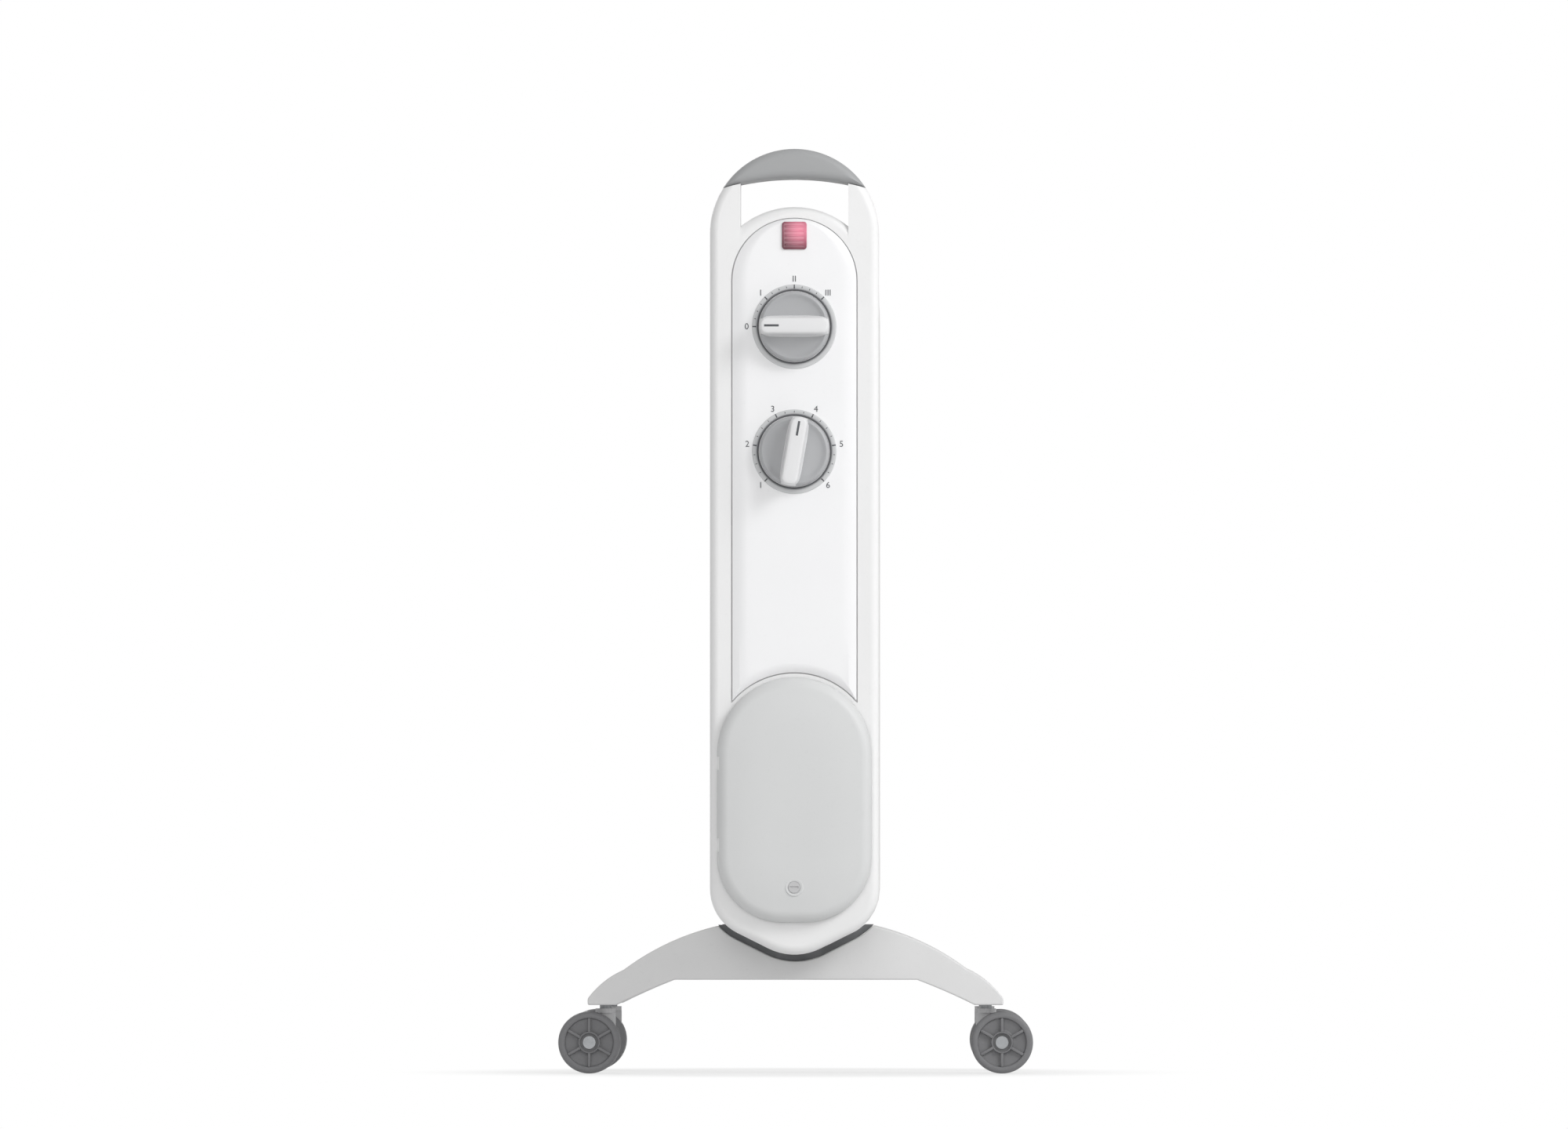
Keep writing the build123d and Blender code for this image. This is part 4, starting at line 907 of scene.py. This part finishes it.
def hinge_shapes(back):
    """The cover's four hinge lugs, and the cutters for its two notches between them."""
    pins_low, pins_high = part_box("cover_hinge_pins")
    x, y, _ = middle_of("cover_hinge_pins")
    ear_inset = 13 * MM
    lug_size = (5.0 * MM, back - y + 2.2 * MM, 8.4 * MM)
    notch_size = (6.8 * MM, 20 * MM, 9.6 * MM)
    lugs = []
    notches = []
    for z in (pins_low.z + ear_inset, pins_high.z - ear_inset):
        for side in (-1, 1):
            middle = (x + 0.2 * MM, (y + back) / 2 - 1.2 * MM, z + side * 9.2 * MM)
            lugs.append(bar("hinge_lug", middle, lug_size, 0.5 * MM))
        notches.append(bar("notch", (x - 0.7 * MM, y + 7.3 * MM, z), notch_size, 0.3 * MM))
    return lugs, notches


def build_cover(material):
    """The cord store's cover: a crowned shell with hinge lugs, notches where the housing's ears stand, and a
    pocket, a surround and a post for the lock. Its ring-shaped fittings join it after the cuts."""
    front, back = COVER_LOW.y, COVER_HIGH.y
    inner_share = 0.9
    insets = [0.0, 0.3, 0.9, 1.8, 3.0, 4.4, 6.0, 7.6, 9.5, 13.0, 18.0, 25.0, 33.0, 41.0]
    outer = []
    inner = []
    for inset in insets:
        step = inset * MM
        inner_step = COVER_WALL + inner_share * step
        outer.append(ring(cover_outline(step), front + cover_profile(step, 0.0)))
        inner.append(ring(cover_outline(inner_step), front + cover_profile(step, COVER_WALL)))
    edge = 0.4 * MM
    rim_steps = [(COVER_WALL, back), (edge, back), (0.0, back - edge)]
    rim = [ring(cover_outline(inset), y) for inset, y in rim_steps]
    shell = loft("store_door", [*reversed(inner), *rim, *outer])
    lock_low, lock_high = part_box("cover_lock")
    lock = (0, lock_low.z + lock_high.x)
    lugs, notches = hinge_shapes(back)
    pocket = loft("lock_pocket", [circle(4.15 * MM, front + y * MM, 48, lock) for y in (-1.0, 1.3)])
    whole = cut(joined("store_door", [shell, *lugs]), [pocket, *notches])
    surround = [(6.4, 0.95), (6.3, 0.45), (5.9, 0.1), (5.3, 0.05), (4.7, 0.25), (4.35, 0.85), (4.3, 1.95),
                (6.4, 1.95)]
    post = [(6.0, 1.4), (6.0, 12.4), (2.6, 12.4), (2.6, 1.4)]
    fittings = []
    for name, profile, count in (("lock_surround", surround, 48), ("lock_post", post, 40)):
        rings = [circle(r * MM, front + y * MM, count, lock) for r, y in profile]
        fittings.append(loft(name, rings, capped=False))
    door = joined("store_door", [whole, *fittings])
    placed(door, "store_cover", material, ["cord_store_cover"])


def crescent(inset, top_z, under_z):
    """The handle's side: an arc about the body's round top over a flatter one, which is its underside."""
    top_steps, under_steps = 55, 39
    top = BODY_HALF - inset
    base = HANDLE_UNDER_RADIUS + inset
    gap = top_z - under_z
    meet_z = under_z + (base ** 2 - top ** 2 + gap ** 2) / (2 * gap)
    meet_x = sqrt(top ** 2 - (meet_z - top_z) ** 2)
    points = []
    for i in range(top_steps + 1):
        angle = atan2(meet_x, meet_z - top_z) * (1 - 2 * i / top_steps)
        points.append(Vector((top * sin(angle), top_z + top * cos(angle))))
    for i in range(1, under_steps):
        angle = atan2(meet_x, meet_z - under_z) * (2 * i / under_steps - 1)
        points.append(Vector((base * sin(angle), under_z + base * cos(angle))))
    return points


def build_handle(material):
    """The crescent handle, rounded along its front edge and underneath."""
    low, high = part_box("handle")
    top_z = high.z - BODY_HALF
    under_z = high.z - HANDLE_HEIGHT - HANDLE_UNDER_RADIUS
    back_edge = [(2.2, 0.0), (1.0, 0.3), (0.3, 1.0), (0.0, 2.2)]
    bend = 5.4 * MM
    bend_steps = 8
    steps = [(inset * MM, high.y - back * MM) for inset, back in back_edge]
    for i in range(bend_steps + 1):
        angle = pi / 2 * i / bend_steps
        steps.append((bend * (1 - cos(angle)), low.y + bend * (1 - sin(angle))))
    rings = [ring(crescent(inset, top_z, under_z), y) for inset, y in steps]
    placed(loft("carrying_handle", rings), "radiator", material, ["handle"])


def build_wheel():
    """One castor wheel about Y with its outer face forward, at the origin. Its profile goes round from the
    bore, as radii and places behind the outer face in millimetres."""
    width, bore, tread = 12.5, 3.05, 21.5
    dent = tread - sizes().tread_groove / MM
    back = [(bore, width), (18.8, width), (20.4, 12.2), (21.3, 11.3), (tread, 10.2)]
    grooves = []
    for y in (9.3, 4.4):
        grooves += [(tread, y), (dent, y - 0.3), (dent, y - 0.9), (tread, y - 1.2)]
    shoulder = [(tread, 2.2), (21.2, 1.1), (20.3, 0.3), (19.0, 0.0), (17.8, 0.0), (17.1, 0.3), (16.7, 1.6)]
    dish = [(16.2, 2.3), (9.0, 3.0), (8.1, 2.4), (7.7, 0.7)]
    hub = [(7.3, 0.1), (6.8, 0.0), (6.5, 0.2), (6.4, 3.0), (bore, 3.0)]
    profile = back + grooves + shoulder + dish + hub
    rings = [circle(r * MM, (y - width / 2) * MM, 80) for r, y in profile]
    tyre = loft("castor_wheel", rings, capped=False)
    rib_middle = (0, -4.9 * MM, 12.1 * MM)
    rib_size = (2.0 * MM, 2.9 * MM, 9.6 * MM)
    count = sizes().spokes
    ribs = []
    for i in range(count):
        rib = bar("spoke", rib_middle, rib_size, 0.5 * MM)
        rib.data.transform(Matrix.Rotation(TAU * i / count, 4, "Y"))
        ribs.append(rib)
    return joined("castor_wheel", [tyre, *ribs])


def build_wheels(material):
    """Two wheels on every castor, turned back to back."""
    wheel = build_wheel()
    for name in CASTORS:
        swivel = f"castor_{name}"
        for part, flip in (("a", 1), ("b", -1)):
            node = f"{swivel}_wheel_{part}"
            matrix = Matrix.Translation(middle_of(node)) @ Matrix.Diagonal((1, flip, 1, 1))
            placed(copied(wheel, f"{swivel}_tyre_{part}", matrix), node, material, [node])
    bpy.data.objects.remove(wheel)


def build_hoods(material):
    """A fender over every castor, from one whose edges are rounded."""
    first = "castor_front_left_hood"
    hood = eased(first, "castor_fender", sizes().edge_round)
    for name in CASTORS:
        node = f"castor_{name}_hood"
        apart = middle_of(node).y - middle_of(first).y
        mirror = Matrix.Diagonal((-1 if name.endswith("right") else 1, 1, 1, 1))
        fender = copied(hood, f"castor_{name}_fender", Matrix.Translation((0, apart, 0)) @ mirror)
        placed(fender, f"castor_{name}_swivel", material, [node], firm=True)
    bpy.data.objects.remove(hood)


def build_feet(material):
    """The two arched feet, with their moulded edges rounded."""
    front = eased("front_foot", "front_arch", 1.1 * MM, segments=3, clamp=False, least=0.25 * MM)
    apart = middle_of("rear_foot").y - middle_of("front_foot").y
    rear = copied(front, "rear_arch", Matrix.Translation((0, apart, 0)))
    for piece, node in ((front, "front_foot"), (rear, "rear_foot")):
        placed(piece, "radiator", material, [node], firm=True)


def build_housing(material):
    """The control housing's finish, and the mounts of its handle with their parting edges rounded."""
    dress(material, "control_housing")
    mounts = eased("handle_mounts", "handle_mount_blocks", 0.6 * MM)
    placed(mounts, "radiator", material, ["handle_mounts"], firm=True)


def floor_finish():
    """A pale floor that takes the object's shadow and turns plain white away from it."""
    near_share = 0.7
    shadow_reach, plain_reach = 0.17, 0.34
    squeeze = 1.15
    finish = Finish("studio_floor", srgb(218, 218, 218), 0.85)
    x, y, _ = finish.axes()
    away = ((x * squeeze) ** 2.0 + y ** 2.0) ** 0.5
    path = finish.node("ShaderNodeLightPath")
    rays = ("Is Camera Ray", "Is Glossy Ray", "Is Transmission Ray")
    camera, glossy, through = [Value(finish, path.outputs[name]) for name in rays]
    white = finish.node("ShaderNodeEmission", {}, {"Color": WHITE, "Strength": 1.0})
    plain = near_share + finish.band(away, shadow_reach, plain_reach) * (1 - near_share)
    share = plain * (camera + glossy + through).clamped()
    shaders = {0: share, 1: finish.shader.outputs[0], 2: white.outputs[0]}
    mixed = finish.node("ShaderNodeMixShader", {}, shaders)
    output = finish.tree.nodes["Material Output"]
    finish.feed(output.inputs["Surface"], mixed.outputs[0])
    finish.bump(finish.noise(240.0, 3.0), 0.00004)
    return finish.material


def build_world():
    """White for the camera, and an even fill light for the rest."""
    fill_strength, seen_strength = 0.55, 1.0
    world = bpy.data.worlds.new("Studio")
    bpy.context.scene.world = world
    world.use_nodes = True
    nodes, links = world.node_tree.nodes, world.node_tree.links
    nodes.clear()
    path = nodes.new("ShaderNodeLightPath")
    mixed = nodes.new("ShaderNodeMixShader")
    output = nodes.new("ShaderNodeOutputWorld")
    links.new(path.outputs["Is Camera Ray"], mixed.inputs[0])
    for socket, strength in ((1, fill_strength), (2, seen_strength)):
        light = nodes.new("ShaderNodeBackground")
        light.inputs["Color"].default_value = WHITE
        light.inputs["Strength"].default_value = strength
        links.new(light.outputs[0], mixed.inputs[socket])
    links.new(mixed.outputs[0], output.inputs[0])


def softbox(name, place, aim, size, power):
    """A square area lamp at a place, facing a point."""
    data = bpy.data.lights.new(name, "AREA")
    data.size = size
    data.energy = power
    lamp = bpy.data.objects.new(name, data)
    bpy.context.scene.collection.objects.link(lamp)
    lamp.location = place
    lamp.rotation_euler = (Vector(aim) - Vector(place)).to_track_quat("-Z", "Y").to_euler()
    return lamp


def build_stage():
    """Floor, lamps and the photograph's camera."""
    bpy.context.scene.view_settings.view_transform = "Standard"
    deselect()
    bpy.ops.mesh.primitive_grid_add(x_subdivisions=2, y_subdivisions=2, size=24.0, location=(0.0, 0.0, 0.0))
    floor = bpy.context.object
    floor.name = "studio_floor"
    floor.data.materials.append(floor_finish())
    build_world()
    softbox("Key", (2.0, -1.8, 1.9), (0.0, -0.1, 0.35), 1.1, 34.0)
    softbox("Front", (-0.3, -3.3, 0.9), (0.0, -0.1, 0.32), 1.6, 15.0)
    softbox("Side", (2.8, -0.9, 0.8), (0.0, 0.0, 0.32), 1.2, 9.0)
    softbox("Back", (-1.2, 3.2, 1.7), (0.0, 0.1, 0.32), 1.6, 24.0)
    camera_data = bpy.data.cameras.new("Camera")
    camera_data.sensor_width = 36.0
    away, below, turn = 10.0, 0.228, radians(-0.5)
    seen_width = 1.074
    camera_data.lens = camera_data.sensor_width * away / seen_width
    camera = bpy.data.objects.new("Camera", camera_data)
    bpy.context.scene.collection.objects.link(camera)
    aim = Vector((-0.007, COVER_LOW.y, 0.35))
    camera.location = aim + Vector((-away * sin(turn), -away * cos(turn), -below))
    camera.rotation_euler = (aim - camera.location).to_track_quat("-Z", "Y").to_euler()
    bpy.context.scene.camera = camera


class RADIATOR_OT_fins(bpy.types.Operator):
    """Model the pressed fins and their welds"""

    bl_idname = "radiator.fins"
    bl_label = "Fins"

    def execute(self, context):
        material = enamelled("fin_enamel", colours().enamel)
        build_fins(material)
        dress(material, "collector_nipples")
        return {"FINISHED"}


class RADIATOR_OT_housing(bpy.types.Operator):
    """Finish the control housing and the mounts of its handle"""

    bl_idname = "radiator.housing"
    bl_label = "Control housing"

    def execute(self, context):
        build_housing(moulded("housing_white", colours().housing, roughness=0.42))
        return {"FINISHED"}


class RADIATOR_OT_handle(bpy.types.Operator):
    """Model the crescent handle"""

    bl_idname = "radiator.handle"
    bl_label = "Handle"

    def execute(self, context):
        build_handle(moulded("handle_grey", colours().handle, roughness=0.5))
        return {"FINISHED"}


class RADIATOR_OT_panel(bpy.types.Operator):
    """Model the front panel"""

    bl_idname = "radiator.panel"
    bl_label = "Front panel"

    def execute(self, context):
        build_panel(moulded("panel_white", colours().panel, grain=3000.0, depth=0.00002, roughness=0.36))
        return {"FINISHED"}


class RADIATOR_OT_lamp(bpy.types.Operator):
    """Model the pilot lamp's lens"""

    bl_idname = "radiator.lamp"
    bl_label = "Pilot lamp"

    def execute(self, context):
        build_lamp(lens("lamp_red", colours().lamp))
        return {"FINISHED"}


class RADIATOR_OT_dials(bpy.types.Operator):
    """Model the rings round the knobs, with their marks and numerals"""

    bl_idname = "radiator.dials"
    bl_label = "Dials"

    def execute(self, context):
        ink = printed("dial_print", colours().ink)
        heats = [("0", -90), ("I", -45), ("II", 0), ("III", 45)]
        steps = [(str(i + 1), -135 + 54 * i) for i in range(6)]
        for name, figures in (("selector", heats), ("thermostat", steps)):
            build_dial(name, dial_ring(name, colours().dial, colours().painted_gap_shade), ink, figures)
        return {"FINISHED"}


class RADIATOR_OT_knobs(bpy.types.Operator):
    """Model the two knobs"""

    bl_idname = "radiator.knobs"
    bl_label = "Knobs"

    def execute(self, context):
        skirt = moulded("knob_grey", colours().knob, roughness=0.42)
        grip = moulded("grip_grey", colours().grip, roughness=0.38)
        ink = printed("knob_pointer", colours().ink)
        build_knob("selector", "heat_selector", -90, skirt, grip, ink)
        build_knob("thermostat", "thermostat_control", 10, skirt, grip, ink)
        return {"FINISHED"}


class RADIATOR_OT_cover(bpy.types.Operator):
    """Model the cord store's cover, and finish its lock"""

    bl_idname = "radiator.cover"
    bl_label = "Cord store cover"

    def execute(self, context):
        build_cover(moulded("cover_grey", colours().cover, roughness=0.48))
        dress(moulded("lock_grey", srgb(196, 196, 197), roughness=0.4), "cover_lock")
        return {"FINISHED"}


class RADIATOR_OT_feet(bpy.types.Operator):
    """Model the arched feet, and finish their saddle pads"""

    bl_idname = "radiator.feet"
    bl_label = "Feet"

    def execute(self, context):
        build_feet(moulded("foot_grey", colours().foot, roughness=0.5, soil=0.1))
        # The pads' dark grey is part real rubber, part painted shade for the gap under the body.
        dress(rubber("pad_grey", colours().pad), "front_saddle_pad", "rear_saddle_pad")
        return {"FINISHED"}


class RADIATOR_OT_castors(bpy.types.Operator):
    """Model the castors' wheels and fenders"""

    bl_idname = "radiator.castors"
    bl_label = "Castors"

    def execute(self, context):
        build_wheels(moulded("wheel_grey", colours().wheel, roughness=0.5, soil=0.2))
        build_hoods(moulded("hood_grey", colours().hood, roughness=0.46, soil=0.1))
        return {"FINISHED"}


class RADIATOR_OT_fittings(bpy.types.Operator):
    """Finish the steel, brass, rubber and plastic fittings"""

    bl_idname = "radiator.fittings"
    bl_label = "Fittings"

    def execute(self, context):
        zinc = metal("zinc_plate", (0.62, 0.63, 0.65), 0.34, ALL_WAYS)
        stems = [f"castor_{name}_stem_and_axle" for name in CASTORS]
        dress(zinc, "oil_filler_plug", "housing_screws", "handle_screws", "cover_hinge_pins", "u_bolts",
              "wing_nuts")
        dress(metal("axle_steel", (0.36, 0.37, 0.38), 0.42, ALL_WAYS), *stems)
        dress(metal("element_tube", (0.36, 0.34, 0.32), 0.45, ALONG_Y), "heating_element")
        dress(metal("shield_sheet", (0.74, 0.75, 0.76), 0.38, ALONG_X), "heat_shield")
        dress(metal("turned_brass", (0.66, 0.50, 0.24), 0.3, ALL_WAYS), "selector_shaft", "thermostat_shaft",
              "tilt_pendulum")
        dress(rubber("fibre_gasket", (0.10, 0.10, 0.09)), "element_gasket")
        dress(rubber("gland_rubber", BLACK), "cord_gland")
        dress(moulded("phenolic_case", BLACK, roughness=0.5), "thermal_cutout", "lamp_holder",
              "selector_switch", "room_thermostat")
        dress(moulded("natural_nylon", NATURAL, roughness=0.5), "terminal_block", "tilt_switch_case")
        dress(moulded("tray_grey", srgb(150, 150, 151), roughness=0.55, soil=0.12), "cord_store_tray")
        dress(soft_sheath("wire_sheath", NATURAL), "wiring")
        return {"FINISHED"}


class RADIATOR_OT_stage(bpy.types.Operator):
    """Set up the floor, the lamps and the camera"""

    bl_idname = "radiator.stage"
    bl_label = "Stage"

    def execute(self, context):
        build_stage()
        return {"FINISHED"}


STEPS = (RADIATOR_OT_fins, RADIATOR_OT_housing, RADIATOR_OT_handle, RADIATOR_OT_panel, RADIATOR_OT_lamp,
         RADIATOR_OT_dials, RADIATOR_OT_knobs, RADIATOR_OT_cover, RADIATOR_OT_feet, RADIATOR_OT_castors,
         RADIATOR_OT_fittings, RADIATOR_OT_stage)


class RADIATOR_PT_steps(bpy.types.Panel):
    """Lists the steps, the sizes and the colours in the 3D view's sidebar"""

    bl_idname = "RADIATOR_PT_steps"
    bl_label = "Radiator"
    bl_space_type = "VIEW_3D"
    bl_region_type = "UI"
    bl_category = "Radiator"

    def draw(self, context):
        for step in STEPS:
            self.layout.operator(step.bl_idname)
        for group in (sizes(), colours()):
            for name in group.__annotations__:
                self.layout.prop(group, name)


CLASSES = (RadiatorSizes, RadiatorColours, *STEPS, RADIATOR_PT_steps)


def register():
    """Adds the classes and the scene's properties."""
    for cls in CLASSES:
        bpy.utils.register_class(cls)
    bpy.types.Scene.radiator_sizes = PointerProperty(type=RadiatorSizes)
    bpy.types.Scene.radiator_colours = PointerProperty(type=RadiatorColours)


def unregister():
    """Takes the properties and the classes away again."""
    del bpy.types.Scene.radiator_colours
    del bpy.types.Scene.radiator_sizes
    for cls in reversed(CLASSES):
        bpy.utils.unregister_class(cls)


def main():
    """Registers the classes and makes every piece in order."""
    register()
    bpy.ops.radiator.fins()
    bpy.ops.radiator.housing()
    bpy.ops.radiator.handle()
    bpy.ops.radiator.panel()
    bpy.ops.radiator.lamp()
    bpy.ops.radiator.dials()
    bpy.ops.radiator.knobs()
    bpy.ops.radiator.cover()
    bpy.ops.radiator.feet()
    bpy.ops.radiator.castors()
    bpy.ops.radiator.fittings()
    bpy.ops.radiator.stage()


if __name__ == "__main__":
    main()
